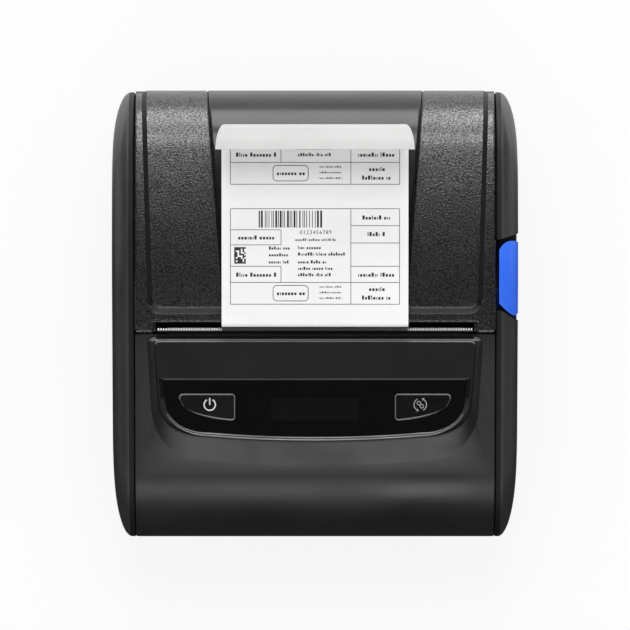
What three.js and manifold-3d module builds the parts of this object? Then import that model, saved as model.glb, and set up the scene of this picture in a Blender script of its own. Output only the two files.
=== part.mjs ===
// Portable label printer, lying on its back. Millimetres, +Z up, +Y towards the hinge of the lid.
// The origin is on the resting plane, below the middle of the body.

import * as THREE from 'three';
import { mergeVertices } from 'three/addons/utils/BufferGeometryUtils.js';
import Module from 'manifold-3d';

const wasm = await Module();
wasm.setup();

// Overall body
const bodyWidth = 108;
const bodyLength = 120;
const bodyHeight = 58;
const footHeight = 1.2;
const panelDepth = 5.8;

// Clearances
const fitGap = 0.3;
const panelGap = 0.2;
const lidGap = 0.3;
const driveGap = 0.5;
const rollClearance = 2.5;
const rollPlatenGap = 1.43;
const bayLift = 4.2;
const bayRearGap = 1;
const keyGap = 0.35;
const shaftGap = 0.25;
const overrun = 2;
const mergeTolerance = 1e-4;
const roundSides = 24;
const rollSides = 48;
const cornerSteps = 4;
const rearSteps = 9;
const crownSteps = 6;
const noseSteps = 9;
const uSteps = 7;
const cornerPull = 0.6;
const keyCornerEase = 1.2;
const throatTurn = Math.PI * 0.84;

// Walls
const baseWall = 1.8;
const coverWall = 1.9;
const lidWall = 1.9;
const panelWall = 1.8;
const bayWall = 1.5;
const frameThickness = 1.5;

// Side outline shared by the lid, the front cover, the base and the side panels
const rearRadius = 17;
const crownRadius = 200;
const rearTurn = THREE.MathUtils.degToRad(85);
const lidRelief = 0.8;
const shoulderSlope = THREE.MathUtils.degToRad(10);
const shoulderRadius = 20;
const noseInset = 0.5;
const bottomRadius = 7;
const noseFoot = 6.1;
const plateauRise = 2;

// Hinge, platen, roll and drive
const hingeRadius = 4.5;
const hingeDrop = 25;
const hingeRodRadius = 1.5;
const platenRadius = 6;
const platenDrop = 13;
const platenShaftRadius = 2;
const gearModule = 0.6;
const platenTeeth = 20;
const idlerTeeth = 30;
const motorTeeth = 12;
const gearWidth = 1.8;
const bayRecess = 0.8;
const coreOuterRadius = 11;
const coreBoreRadius = 9.5;
const labelWidth = 49.5;
const labelThickness = 0.3;
const labelGap = 0.1;
const slotGap = 1.4;
const slotInset = 1.9;
const coverDrop = 0.9;
const tearBar = {
  thickness: 1.3, gap: 0.3, frontGap: 0.3, teeth: 100, toothDepth: 0.45, drop: 0.8, footDrop: 7.7,
};
const armThickness = 1.8;
const hookThickness = 1.2;

// Places worked out from the sizes above
const halfWidth = bodyWidth / 2;
const halfLength = bodyLength / 2;
const panelInner = halfWidth - panelDepth;
const shellHalf = panelInner - panelGap;
const wallInner = shellHalf - baseWall;
const floorBottom = footHeight;
const floorTop = floorBottom + baseWall;
const hingeY = halfLength - hingeRadius;
const hingeHeight = bodyHeight - hingeDrop;
const bayFloor = floorTop + bayLift + bayWall;
const rollBottom = bayFloor + bayRecess + rollClearance;
const rollTop = bodyHeight - lidRelief - lidWall - fitGap - frameThickness - rollClearance;
const rollRadius = (rollTop - rollBottom) / 2;
const rollHeight = (rollTop + rollBottom) / 2;
const bayRadius = rollRadius + rollClearance;
const rollY = hingeY - hingeRadius - bayRearGap - bayWall - bayRadius;
const platenHeight = bodyHeight - platenDrop;
const platenReach = rollRadius + platenRadius + rollPlatenGap;
const platenY = rollY - Math.sqrt(platenReach ** 2 - (platenHeight - rollHeight) ** 2);
const platenHalf = wallInner - driveGap - gearWidth - hookThickness - armThickness - 3 * fitGap;
const slotHalf = platenHalf + slotInset;
const armInner = platenHalf + fitGap;
const armOuter = armInner + armThickness;
const hookInner = armOuter + fitGap;
const hookOuter = hookInner + hookThickness;
const gearInner = hookOuter + fitGap;
const gearOuter = gearInner + gearWidth;
const labelBackY = platenY - platenRadius - labelGap;
const labelFaceY = labelBackY - labelThickness;
const headFaceY = labelFaceY - labelGap;
const lipY = labelFaceY - tearBar.gap + slotGap;

// Solids: closed triangle meshes that can be joined and cut

function solidFrom(geometry) {
  const bare = geometry.index ? geometry.toNonIndexed() : geometry.clone();
  bare.deleteAttribute('normal');
  bare.deleteAttribute('uv');
  const merged = mergeVertices(bare, mergeTolerance);
  return new wasm.Manifold(new wasm.Mesh({
    numProp: 3,
    vertProperties: new Float32Array(merged.attributes.position.array),
    triVerts: new Uint32Array(merged.index.array),
  }));
}

function geometryFrom(solid) {
  const mesh = solid.getMesh();
  const geometry = new THREE.BufferGeometry();
  geometry.setAttribute('position', new THREE.BufferAttribute(mesh.vertProperties, mesh.numProp));
  geometry.setIndex(new THREE.BufferAttribute(mesh.triVerts, 1));
  geometry.computeVertexNormals();
  return geometry;
}

function joined(...solids) {
  return solids.reduce((whole, next) => whole.add(next));
}

function without(solid, ...cutters) {
  return cutters.reduce((whole, cutter) => whole.subtract(cutter), solid);
}

function block(x0, x1, y0, y1, z0, z1) {
  const geometry = new THREE.BoxGeometry(x1 - x0, y1 - y0, z1 - z0);
  geometry.translate((x0 + x1) / 2, (y0 + y1) / 2, (z0 + z1) / 2);
  return solidFrom(geometry);
}

// An outline in Y and Z, run along X
function prismX(outline, x0, x1) {
  const geometry = extruded(outline, x1 - x0);
  const turn = new THREE.Matrix4().makeBasis(
    new THREE.Vector3(0, 1, 0), new THREE.Vector3(0, 0, 1), new THREE.Vector3(1, 0, 0));
  geometry.applyMatrix4(turn);
  geometry.translate(x0, 0, 0);
  return solidFrom(geometry);
}

// An outline in X and Z, run along Y
function prismY(outline, y0, y1) {
  const geometry = extruded(outline, y1 - y0);
  geometry.rotateX(Math.PI / 2);
  geometry.translate(0, y1, 0);
  return solidFrom(geometry);
}

// An outline in X and Y, run along Z
function prismZ(outline, z0, z1) {
  const geometry = extruded(outline, z1 - z0);
  geometry.translate(0, 0, z0);
  return solidFrom(geometry);
}

function extruded(outline, depth) {
  const shape = new THREE.Shape(outline.map(([a, b]) => new THREE.Vector2(a, b)));
  return new THREE.ExtrudeGeometry(shape, { depth, bevelEnabled: false, steps: 1 });
}

function circle(a, b, radius, sides = roundSides) {
  return arc(a, b, radius, 0, 2 * Math.PI, sides).slice(0, -1);
}

function arc(a, b, radius, from, to, steps) {
  const points = [];
  for (let i = 0; i <= steps; i += 1) {
    const angle = from + ((to - from) * i) / steps;
    points.push([a + radius * Math.cos(angle), b + radius * Math.sin(angle)]);
  }
  return points;
}

function rodX(y, z, radius, x0, x1, sides = roundSides) {
  return prismX(circle(y, z, radius, sides), x0, x1);
}

function rodY(x, z, radius, y0, y1, sides = roundSides) {
  return prismY(circle(x, z, radius, sides), y0, y1);
}

function rodZ(x, y, radius, z0, z1, sides = roundSides) {
  return prismZ(circle(x, y, radius, sides), z0, z1);
}

// A closed skin through rings of equal length, each ring a list of points in space.
// The two end rings are flat and each is closed by a fan round its middle.
function lofted(rings) {
  const count = rings[0].length;
  const points = rings.flat();
  const faces = [];
  for (let r = 0; r + 1 < rings.length; r += 1) {
    for (let i = 0; i < count; i += 1) {
      const a = r * count + i;
      const b = r * count + ((i + 1) % count);
      faces.push([a, b, b + count], [a, b + count, a + count]);
    }
  }
  const last = (rings.length - 1) * count;
  const firstMiddle = points.push(middleOf(rings[0])) - 1;
  const lastMiddle = points.push(middleOf(rings[rings.length - 1])) - 1;
  for (let i = 0; i < count; i += 1) {
    const next = (i + 1) % count;
    faces.push([firstMiddle, next, i], [lastMiddle, last + i, last + next]);
  }
  const outward = signedVolume(points, faces) > 0;
  const geometry = new THREE.BufferGeometry();
  geometry.setAttribute('position', new THREE.Float32BufferAttribute(points.flat(), 3));
  geometry.setIndex(faces.flatMap(([a, b, c]) => (outward ? [a, b, c] : [a, c, b])));
  return solidFrom(geometry);
}

function middleOf(ring) {
  return [0, 1, 2].map((k) => ring.reduce((sum, point) => sum + point[k], 0) / ring.length);
}

function signedVolume(points, faces) {
  const [a, b, c] = [new THREE.Vector3(), new THREE.Vector3(), new THREE.Vector3()];
  return faces.reduce((sum, [i, j, k]) => {
    a.fromArray(points[i]);
    b.fromArray(points[j]);
    c.fromArray(points[k]);
    return sum + a.dot(b.cross(c));
  }, 0);
}

// Side outlines. Angles count from +Y towards +Z, and every outline is a list of [Y, Z] points.

const quarter = Math.PI / 2;
const crownZ = bodyHeight - crownRadius;
const crownY = halfLength - rearRadius - (crownRadius - rearRadius) * Math.cos(rearTurn);
const rearArcY = halfLength - rearRadius;
const rearArcZ = crownZ + (crownRadius - rearRadius) * Math.sin(rearTurn);

function crownHeight(y, relief) {
  return crownZ + Math.sqrt((crownRadius - relief) ** 2 - (y - crownY) ** 2);
}

// From the foot of the rear face over the rear curve and the crown to the given Y
function lidLine(relief, frontY, footZ = hingeHeight) {
  const radius = crownRadius - relief;
  const end = Math.acos((frontY - crownY) / radius);
  return [
    [halfLength - relief, footZ],
    ...arc(rearArcY, rearArcZ, rearRadius - relief, 0, rearTurn, rearSteps),
    ...arc(crownY, crownZ, radius, rearTurn, end, crownSteps).slice(1),
  ];
}

// The sloping shoulder in front of the slot, then the nose down to the seam
const coverRearY = labelFaceY - tearBar.gap - tearBar.thickness - tearBar.frontGap;
const coverRearZ = crownHeight(coverRearY, 0) - coverDrop - plateauRise;
const noseArcY = noseInset + shoulderRadius - halfLength;
const noseArcZ = coverRearZ - shoulderRadius * Math.cos(shoulderSlope)
  + (noseArcY - shoulderRadius * Math.sin(shoulderSlope) - coverRearY) * Math.tan(shoulderSlope);

const seamHeight = noseArcZ - noseFoot;
const coverLength = coverRearY - noseInset + halfLength;

function noseLine(inset, footZ) {
  const radius = shoulderRadius - inset;
  return [
    ...arc(noseArcY, noseArcZ, radius, quarter + shoulderSlope, 2 * quarter, noseSteps),
    [noseArcY - radius, footZ],
  ];
}

function coverLine(inset, rearY, footZ) {
  const rise = (rearY - coverRearY) * Math.tan(shoulderSlope) - inset / Math.cos(shoulderSlope);
  return [[rearY, coverRearZ + rise], ...noseLine(inset, footZ)];
}

// The assembly

const printer = new THREE.Group();
printer.name = 'portable_label_printer';

const finishes = {
  shell: { color: 0x2b2c2e, roughness: 0.55, metalness: 0 },
  panel: { color: 0x323335, roughness: 0.45, metalness: 0 },
  smoke: { color: 0x101113, roughness: 0.08, metalness: 0 },
  lens: { color: 0x08090a, roughness: 0.06, metalness: 0 },
  trim: { color: 0x8c9094, roughness: 0.3, metalness: 0.8 },
  key: { color: 0x0c0d0e, roughness: 0.2, metalness: 0 },
  blue: { color: 0x2f6ff2, roughness: 0.4, metalness: 0 },
  steel: { color: 0xb8bcc0, roughness: 0.3, metalness: 1 },
  aluminium: { color: 0xa9adb2, roughness: 0.4, metalness: 1 },
  frame: { color: 0x1c1d1f, roughness: 0.6, metalness: 0 },
  rubber: { color: 0x17181a, roughness: 0.9, metalness: 0 },
  gear: { color: 0xe6e3d8, roughness: 0.5, metalness: 0 },
  board: { color: 0x1d5a38, roughness: 0.5, metalness: 0 },
  ceramic: { color: 0xe9e4d6, roughness: 0.3, metalness: 0 },
  paper: { color: 0xf6f6f4, roughness: 0.8, metalness: 0 },
  card: { color: 0xb49a72, roughness: 0.9, metalness: 0 },
  brass: { color: 0xc9a650, roughness: 0.35, metalness: 1 },
};

function add(name, finish, solid) {
  const mesh = new THREE.Mesh(geometryFrom(solid), new THREE.MeshStandardMaterial(finishes[finish]));
  mesh.name = name;
  printer.add(mesh);
  return solid;
}

// Latch: a cross shaft with a hook at each end; the button's wedge pushes the right hook's lug

const latch = {
  back: 5.2, below: 20, shaftRadius: 1.5, bossRadius: 3, bladeWidth: 4.2, noseBack: 2.7,
  lugRadius: 1.2, lugRise: 13.3,
};
latch.y = platenY - latch.back;
latch.z = platenHeight - latch.below;
latch.noseReach = platenY - latch.noseBack;
latch.lugZ = latch.z + latch.lugRise;
latch.lugTop = latch.lugZ + latch.lugRadius + fitGap;
const wedgeSum = latch.y + latch.lugZ + Math.SQRT2 * (latch.lugRadius + fitGap);

// Base housing: a tub with tall side walls beside the lid and hinge knuckles at the rear

const baseTop = platenHeight;
const rearWallTop = hingeHeight - hingeRadius - lidGap * 2;
const knuckleInset = 7.5;
const knuckleInner = shellHalf - knuckleInset;
const knuckleTurn = THREE.MathUtils.degToRad(-60);
const battery = { sideInset: 12, frontInset: 10, rearInset: 17.2, topGap: 1 };
battery.half = shellHalf - battery.sideInset;
battery.front = battery.frontInset - halfLength;
battery.rear = platenY - battery.rearInset;
battery.top = seamHeight - battery.topGap;
const baySkin = 1.2;
const cornerInset = { side: 6.5, foot: 12.5, screw: 21.4 };
const foot = { radius: 4.2, recess: 0.6 };
foot.x = shellHalf - cornerInset.side;
foot.y = halfLength - cornerInset.foot;
const screw = { headRadius: 2.6, headHeight: 1.4, shankRadius: 1.2, length: 7.5 };
screw.x = shellHalf - cornerInset.side;
screw.y = halfLength - cornerInset.screw;
const portCentreShare = 0.4761;
const port = {
  drop: 27, openWidth: 14, openHeight: 8.5, width: 9.2, height: 3.4, depth: 9.5,
  shell: 0.5, post: 2.5,
};
port.y0 = coverRearY - coverLength * portCentreShare - port.openWidth / 2;
port.y1 = port.y0 + port.openWidth;
port.z0 = bodyHeight - port.drop;
port.z1 = port.z0 + port.openHeight;
const batteryLatch = {
  half: 6, length: 7.5, travel: 2, ridge: 0.4, ridgeWidth: 0.9, ridgePitch: 1.8, flange: 1.4,
};
batteryLatch.y0 = battery.rear + 3 * fitGap + baySkin;
const stem = { width: 5, back: 1.2, height: 5.5, drop: 21, travel: 2 };
stem.y0 = platenY - stem.back;
stem.y1 = stem.y0 + stem.width;
stem.z0 = bodyHeight - stem.drop;
stem.z1 = stem.z0 + stem.height;

function baseSideOutline() {
  const r = bottomRadius;
  return [
    ...arc(r - halfLength, floorBottom + r, r, 2 * quarter, 3 * quarter, cornerSteps),
    ...arc(halfLength - r, floorBottom + r, r, 3 * quarter, 4 * quarter, cornerSteps),
    [halfLength, rearWallTop],
    [hingeY - hingeRadius - lidGap, rearWallTop],
    [hingeY - hingeRadius - lidGap, baseTop],
    [coverRearY + fitGap, baseTop],
    [coverRearY + fitGap, seamHeight],
    [noseInset - halfLength, seamHeight],
  ];
}

function baseCavity() {
  const r = bottomRadius - baseWall;
  const y0 = baseWall + noseInset - halfLength;
  const y1 = halfLength - baseWall;
  return prismX([
    ...arc(y0 + r, floorTop + r, r, 2 * quarter, 3 * quarter, cornerSteps),
    ...arc(y1 - r, floorTop + r, r, 3 * quarter, 4 * quarter, cornerSteps),
    [y1, bodyHeight],
    [y0, bodyHeight],
  ], -wallInner, wallInner);
}

function knuckle(side) {
  const from = side * knuckleInner;
  const to = side * shellHalf;
  const [x0, x1] = [Math.min(from, to), Math.max(from, to)];
  const ear = prismX([
    ...arc(hingeY, hingeHeight, hingeRadius, knuckleTurn, 2 * quarter, (roundSides * 2) / 3),
    [hingeY - hingeRadius, rearWallTop - hingeRadius],
    [hingeY + hingeRadius * Math.cos(knuckleTurn), rearWallTop - hingeRadius],
  ], x0, x1);
  return ear;
}

function baySkinWalls() {
  const b = battery;
  const outer = block(-b.half - fitGap - baySkin, b.half + fitGap + baySkin,
    b.front - fitGap - baySkin, b.rear + fitGap + baySkin, floorTop - fitGap, b.top);
  const inner = block(-b.half - fitGap, b.half + fitGap,
    b.front - fitGap, b.rear + fitGap, floorBottom - overrun, b.top + overrun);
  return outer.subtract(inner);
}

function baseHousing() {
  const b = battery;
  const l = batteryLatch;
  let solid = prismX(baseSideOutline(), -shellHalf, shellHalf).subtract(baseCavity());
  solid = joined(solid, knuckle(-1), knuckle(1), baySkinWalls());
  solid = without(solid,
    block(-b.half - fitGap, b.half + fitGap, b.front - fitGap, b.rear + fitGap,
      floorBottom - overrun, floorTop + overrun),
    block(-l.half - fitGap, l.half + fitGap, l.y0 - fitGap, l.y0 + l.length + l.travel + fitGap,
      floorBottom - overrun, floorTop + overrun),
    rodX(hingeY, hingeHeight, hingeRodRadius + shaftGap, -halfWidth, halfWidth),
    block(wallInner - overrun, shellHalf + overrun, stem.y0 - fitGap, stem.y1 + fitGap,
      stem.z0 - stem.travel - fitGap, stem.z1 + fitGap));
  [-1, 1].forEach((sx) => [-1, 1].forEach((sy) => {
    solid = without(solid,
      rodZ(sx * foot.x, sy * foot.y, foot.radius + fitGap, floorBottom - overrun, floorBottom + foot.recess),
      rodZ(sx * screw.x, sy * screw.y, screw.shankRadius + fitGap, floorBottom - overrun,
        floorTop + overrun),
      rodZ(sx * screw.x, sy * screw.y, screw.headRadius + fitGap, floorBottom - overrun,
        floorBottom + baseWall / 2));
  }));
  return solid;
}

add('base_housing', 'shell', baseHousing());

// Side panels: pillow-shaped bumpers, full height, hollow behind

const pillow = { rear: 16.5, front: 20, rise: 5, band: 0.9, steps: 6, middle: bodyHeight / 2 };
const panelLift = 0.6;
const panelBlend = 8.8;
const notch = { back: 1.8, length: 18.5, flareFront: 3.3, flareRear: 1.8, depth: 22, skin: 1.2 };
const button = { length: 14.1, flareFront: 3.6, flareRear: 2.3, inset: 0.7, rearGap: 2.7, sill: 2.4 };
notch.y0 = platenY - notch.back;
notch.y1 = notch.y0 + notch.length;
notch.bottom = bodyHeight - notch.depth;
button.y1 = notch.y1 - button.rearGap;
button.y0 = button.y1 - button.length;
button.bottom = notch.bottom + button.sill;

function panelOutline() {
  const top = lidLine(pillow.band / 2, platenY + panelBlend, floorBottom + bottomRadius);
  const nose = noseLine(0, floorBottom + bottomRadius);
  const r = bottomRadius;
  return [
    ...top,
    ...nose.map(([y, z], i) => [y, i + 1 < nose.length ? z + panelLift : z]),
    ...arc(r - halfLength + noseInset, floorBottom + r, r, 2 * quarter, 3 * quarter, cornerSteps).slice(1),
    ...arc(halfLength - r - pillow.band / 2, floorBottom + r, r, 3 * quarter, 4 * quarter, cornerSteps)
      .slice(0, -1),
  ];
}

// One ring of the pillow: the outline drawn in towards its middle as it leaves the body
function pillowRing(outline, x, turn, wall) {
  const depth = 1 - Math.cos(turn);
  return outline.map(([y, z]) => {
    const shareY = (y > 0 ? pillow.rear : pillow.front) * depth + wall;
    const shareZ = pillow.rise * depth + wall;
    const height = (z - pillow.middle) * (1 - shareZ / pillow.middle);
    return [x, y * (1 - shareY / halfLength), pillow.middle + height];
  });
}

function pillowSolid(side, wall, inner) {
  const outline = panelOutline();
  const bandX = panelInner + pillow.band;
  const reach = halfWidth - bandX - wall;
  const rings = [pillowRing(outline, side * inner, 0, wall)];
  for (let i = 0; i <= pillow.steps; i += 1) {
    const turn = (quarter * i) / pillow.steps;
    rings.push(pillowRing(outline, side * (bandX + reach * Math.sin(turn)), turn, wall));
  }
  return lofted(rings);
}

function flaredPlan(y0, y1, flareFront, flareRear, x0, grow = 0) {
  const x1 = halfWidth + overrun;
  return [
    [x0, y0 - grow], [halfWidth, y0 - flareFront - grow], [x1, y0 - flareFront - grow],
    [x1, y1 + flareRear + grow], [halfWidth, y1 + flareRear + grow], [x0, y1 + grow],
  ];
}

function leftPanel() {
  const hole = (grow) => block(-halfWidth - overrun, -panelInner + overrun,
    port.y0 - grow, port.y1 + grow, port.z0 - grow, port.z1 + grow);
  const cavity = pillowSolid(-1, panelWall, panelInner - overrun).subtract(hole(panelWall));
  return pillowSolid(-1, 0, panelInner).subtract(cavity).subtract(hole(0));
}

function notchSolid(grow) {
  const plan = flaredPlan(notch.y0, notch.y1, notch.flareFront, notch.flareRear, panelInner - overrun, grow);
  return prismZ(plan, notch.bottom - grow, bodyHeight + overrun);
}

function rightPanel() {
  const cavity = pillowSolid(1, panelWall, panelInner - overrun).subtract(notchSolid(notch.skin));
  return pillowSolid(1, 0, panelInner).subtract(cavity).subtract(notchSolid(0));
}

function releaseButton() {
  const plan = flaredPlan(button.y0, button.y1, button.flareFront, button.flareRear,
    panelInner + button.inset);
  const cap = pillowSolid(1, 0, panelInner).intersect(prismZ(plan, button.bottom, bodyHeight));
  const wedgeFoot = wedgeSum - stem.z0;
  const wedge = prismX([
    [stem.y1, stem.z0], [wedgeFoot, stem.z0], [wedgeSum - latch.lugTop, latch.lugTop],
    [wedgeSum - latch.lugTop, stem.z1], [stem.y1, stem.z1],
  ], gearInner + fitGap, wallInner - fitGap);
  const tab = block(gearInner + fitGap, panelInner + button.inset + overrun,
    stem.y0, stem.y1, stem.z0 + overrun, stem.z1);
  return joined(cap, tab, wedge);
}

add('left_side_panel', 'panel', leftPanel());
add('right_side_panel', 'panel', rightPanel());
add('release_button', 'blue', releaseButton());

// Front cover: the shoulder and nose, with a raised plateau that carries the lens and keys.
// Its plan outlines are real sizes on the sloping face: X across, Y as seen from straight above.

// Shares across of the half width of the shell, and lengthwise of the cover from its rear edge
const plateauTopShares = {
  top: 0.0276, half: 0.8917, sideX: 0.8708, sideY: 0.3143, cornerX: 0.6063, cornerY: 0.489, bottom: 0.5129,
};
const plateauFootShares = {
  top: 0.0092, half: 0.9292, sideX: 0.9104, sideY: 0.3364, cornerX: 0.625, cornerY: 0.6213, bottom: 0.6471,
};
const lensShares = {
  top: 0.2151, half: 0.8417, sideX: 0.8313, sideY: 0.307, cornerX: 0.5958, cornerY: 0.4724, bottom: 0.4945,
};
const keyShares = {
  inner: 0.4479, outer: 0.7479, top: 0.2941, bottom: 0.4173, bendX: 0.6354, bendY: 0.3897,
};
const displayShares = { half: 0.2417, top: 0.3033, bottom: 0.4173, boardHalf: 0.3125, boardBottom: 0.4577 };
const boardShares = { half: 0.8542, top: 0.2647, bottom: 0.6967 };
const lengthwise = ['top', 'sideY', 'cornerY', 'bottom', 'bendY', 'boardBottom'];

function planFrom(shares) {
  return Object.fromEntries(Object.entries(shares).map(([name, share]) => (
    [name, lengthwise.includes(name) ? coverRearY - coverLength * share : shellHalf * share])));
}

const plateauTop = planFrom(plateauTopShares);
const plateauFoot = planFrom(plateauFootShares);
const lensPlan = planFrom(lensShares);
const displayPlan = planFrom(displayShares);
const boardPlan = planFrom(boardShares);
const lens = { thickness: 1.6, proud: 0.1, pocket: 1.8 };
const trim = { width: 0.8, proud: 0.2, thickness: 1.2, gap: 0.12 };
const key = { ...planFrom(keyShares), sink: 0.1, thickness: 3, travel: 0.6 };
const displayBoard = 1.2;

// Half an U-shaped outline: a straight top, leaning sides, rounded lower corners, a slight belly
function uOutline(p, grow = 0) {
  const half = new THREE.Path();
  half.moveTo(-p.half - grow, p.top + grow);
  half.lineTo(-p.sideX - grow, p.sideY);
  const reachX = (p.sideX - p.cornerX) * cornerPull;
  const reachY = (p.sideY - p.cornerY) * cornerPull;
  half.bezierCurveTo(-p.sideX - grow, p.sideY - reachY, -p.cornerX - reachX, p.cornerY - grow,
    -p.cornerX, p.cornerY - grow);
  half.quadraticCurveTo(-p.cornerX / 2, p.bottom - grow, 0, p.bottom - grow);
  const left = half.getPoints(uSteps).map((point) => [point.x, point.y]);
  const right = left.slice(0, -1).reverse().map(([x, y]) => [-x, y]);
  return [...left, ...right].reverse();
}

// Turns a solid drawn on the flat (X, Y seen from above, height over the shoulder) onto the slope
function onShoulder(solid) {
  return solid.rotate([THREE.MathUtils.radToDeg(shoulderSlope), 0, 0])
    .translate([0, coverRearY, coverRearZ]);
}

function slopePlan(outline) {
  return outline.map(([x, y]) => [x, (y - coverRearY) / Math.cos(shoulderSlope)]);
}

function slopePrism(outline, w0, w1) {
  return onShoulder(prismZ(slopePlan(outline), w0, w1));
}

function keyOutline(side, grow = 0) {
  const path = new THREE.Path();
  path.moveTo(key.inner - grow, key.top + grow);
  path.lineTo(key.inner - grow, key.bottom - grow);
  path.lineTo(key.bendX, key.bendY - grow);
  path.quadraticCurveTo(key.outer + grow - keyCornerEase, key.bendY - grow + keyCornerEase,
    key.outer + grow, key.top + grow);
  const points = path.getPoints(uSteps).map((point) => [side * point.x, point.y]);
  return side > 0 ? points : points.reverse();
}

function frontCover() {
  const rearY = coverRearY;
  const outline = [
    [rearY, seamHeight + fitGap],
    ...coverLine(0, rearY, seamHeight + fitGap),
  ];
  const cavity = [
    [rearY + overrun, seamHeight - overrun],
    ...coverLine(coverWall, rearY + overrun, seamHeight - overrun),
  ];
  const rings = [
    [plateauFoot, -coverWall / 2], [plateauFoot, 0], [plateauTop, plateauRise],
  ].map(([plan, w]) => slopePlan(uOutline(plan)).map(([x, v]) => [x, v, w]));
  const shell = prismX(outline, -shellHalf, shellHalf)
    .subtract(prismX(cavity, -shellHalf + coverWall, shellHalf - coverWall));
  const floor = plateauRise + lens.proud - lens.pocket;
  return without(shell.add(onShoulder(lofted(rings))),
    slopePrism(uOutline(lensPlan, fitGap), floor, plateauRise + overrun),
    slopePrism(uOutline(lensPlan, trim.gap + trim.width + trim.gap), plateauRise - trim.thickness,
      plateauRise + overrun),
    slopePrism(keyOutline(-1, fitGap), -coverWall - overrun, plateauRise),
    slopePrism(keyOutline(1, fitGap), -coverWall - overrun, plateauRise),
    slopePrism(boxOutline(-displayPlan.half, displayPlan.half, displayPlan.bottom, displayPlan.top),
      -coverWall - overrun, plateauRise),
    block(-halfWidth, coverWall + overrun - shellHalf, ...socketSpan(fitGap)));
}

// The socket's place behind the port, with a margin: Y from and to, Z from and to
function socketSpan(margin) {
  const y0 = (port.y0 + port.y1 - port.width) / 2;
  const z0 = (port.z0 + port.z1 - port.height) / 2;
  return [y0 - margin, y0 + port.width + margin, z0 - margin, z0 + port.height + margin];
}

function boxOutline(x0, x1, y0, y1) {
  return [[x0, y0], [x1, y0], [x1, y1], [x0, y1]];
}

add('front_cover', 'shell', frontCover());

const lensTop = plateauRise + lens.proud;
add('panel_lens', 'lens', without(
  slopePrism(uOutline(lensPlan), lensTop - lens.thickness, lensTop),
  slopePrism(keyOutline(-1, keyGap), -overrun, lensTop + overrun),
  slopePrism(keyOutline(1, keyGap), -overrun, lensTop + overrun)));

const trimTop = plateauRise + trim.proud;
add('panel_trim', 'trim', slopePrism(uOutline(lensPlan, trim.gap + trim.width),
  trimTop - trim.thickness, trimTop)
  .subtract(slopePrism(uOutline(lensPlan, trim.gap), -overrun, trimTop + overrun)));

[[-1, 'power_key'], [1, 'feed_key']].forEach(([side, name]) => {
  add(name, 'key', slopePrism(keyOutline(side), lensTop - key.sink - key.thickness, lensTop - key.sink));
});

const matTop = lensTop - key.sink - key.thickness - key.travel - fitGap;
const mat = { thickness: 1.4, margin: 1.5, shelf: 1.6, relief: 0.4, dome: 3 };

// Key mat, display and main board, parallel to the shoulder under the front cover

const boardThickness = 1.6;
const boardTop = matTop - mat.thickness - fitGap;

function keyMat() {
  const y0 = key.bottom - mat.margin;
  const y1 = key.top + mat.margin;
  const pads = [-1, 1].map((side) => {
    const [x0, x1] = [key.inner - mat.margin, key.outer + mat.margin]
      .map((x) => side * x).sort((a, b) => a - b);
    return slopePrism(boxOutline(x0, x1, y0, y1), matTop - mat.thickness, matTop - mat.relief);
  });
  const domes = [-1, 1].map((side) => slopePrism(
    circle(side * (key.inner + key.outer) / 2, (key.top + key.bottom) / 2, mat.dome),
    matTop - mat.thickness, matTop));
  const bridge = slopePrism(boxOutline(-key.inner, key.inner, y1 - mat.shelf, y1),
    matTop - mat.thickness, matTop - mat.relief);
  return joined(...pads, ...domes, bridge);
}

function displayModule() {
  const p = displayPlan;
  const glassHalf = p.half - fitGap;
  const glass = slopePrism(boxOutline(-glassHalf, glassHalf, p.bottom + fitGap, p.top - fitGap),
    matTop - displayBoard, lensTop - lens.thickness - fitGap);
  return glass.add(slopePrism(boxOutline(-p.boardHalf, p.boardHalf, p.boardBottom, p.top),
    matTop - mat.thickness, matTop - mat.relief));
}

add('key_mat', 'rubber', keyMat());
add('display_module', 'board', displayModule());
add('main_board', 'board', slopePrism(
  boxOutline(-boardPlan.half, boardPlan.half, boardPlan.bottom, boardPlan.top),
  boardTop - boardThickness, boardTop));

function usbSocket() {
  const [y0, y1, z0] = socketSpan(0);
  const mouthX = -shellHalf;
  const shell = block(mouthX, mouthX + port.depth, y0, y1, z0, z0 + port.height);
  const cavity = block(mouthX - overrun, mouthX + port.depth - port.shell, y0 + port.shell, y1 - port.shell,
    z0 + port.shell, z0 + port.height - port.shell);
  const middleY = (y0 + y1) / 2;
  const boardBelow = coverRearZ + (boardTop - boardThickness) / Math.cos(shoulderSlope)
    + (y0 - coverRearY) * Math.tan(shoulderSlope) - fitGap;
  const post = block(-boardPlan.half + fitGap, mouthX + port.depth, middleY - port.post, middleY + port.post,
    z0 + port.height - port.shell, boardBelow);
  return shell.subtract(cavity).add(post);
}

add('usb_socket', 'steel', usbSocket());

// Tear bar: a toothed blade behind the front cover

function tearBlade() {
  const top = crownHeight(lipY, 0) - tearBar.drop;
  const pitch = (2 * slotHalf) / tearBar.teeth;
  const foot = bodyHeight - tearBar.footDrop;
  const points = [[-slotHalf, foot], [slotHalf, foot]];
  const edge = [];
  for (let i = 0; i < tearBar.teeth; i += 1) {
    const x = slotHalf - pitch * i;
    edge.push([x, top - tearBar.toothDepth], [x - pitch / 2, top]);
  }
  edge.push([-slotHalf, top - tearBar.toothDepth]);
  const y1 = labelFaceY - tearBar.gap;
  return prismY([...points, ...edge], y1 - tearBar.thickness, y1);
}

add('tear_bar', 'steel', tearBlade());

// Lid: cover with a raised panel, smoked window, and an inner frame with arms that carry the platen

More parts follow.
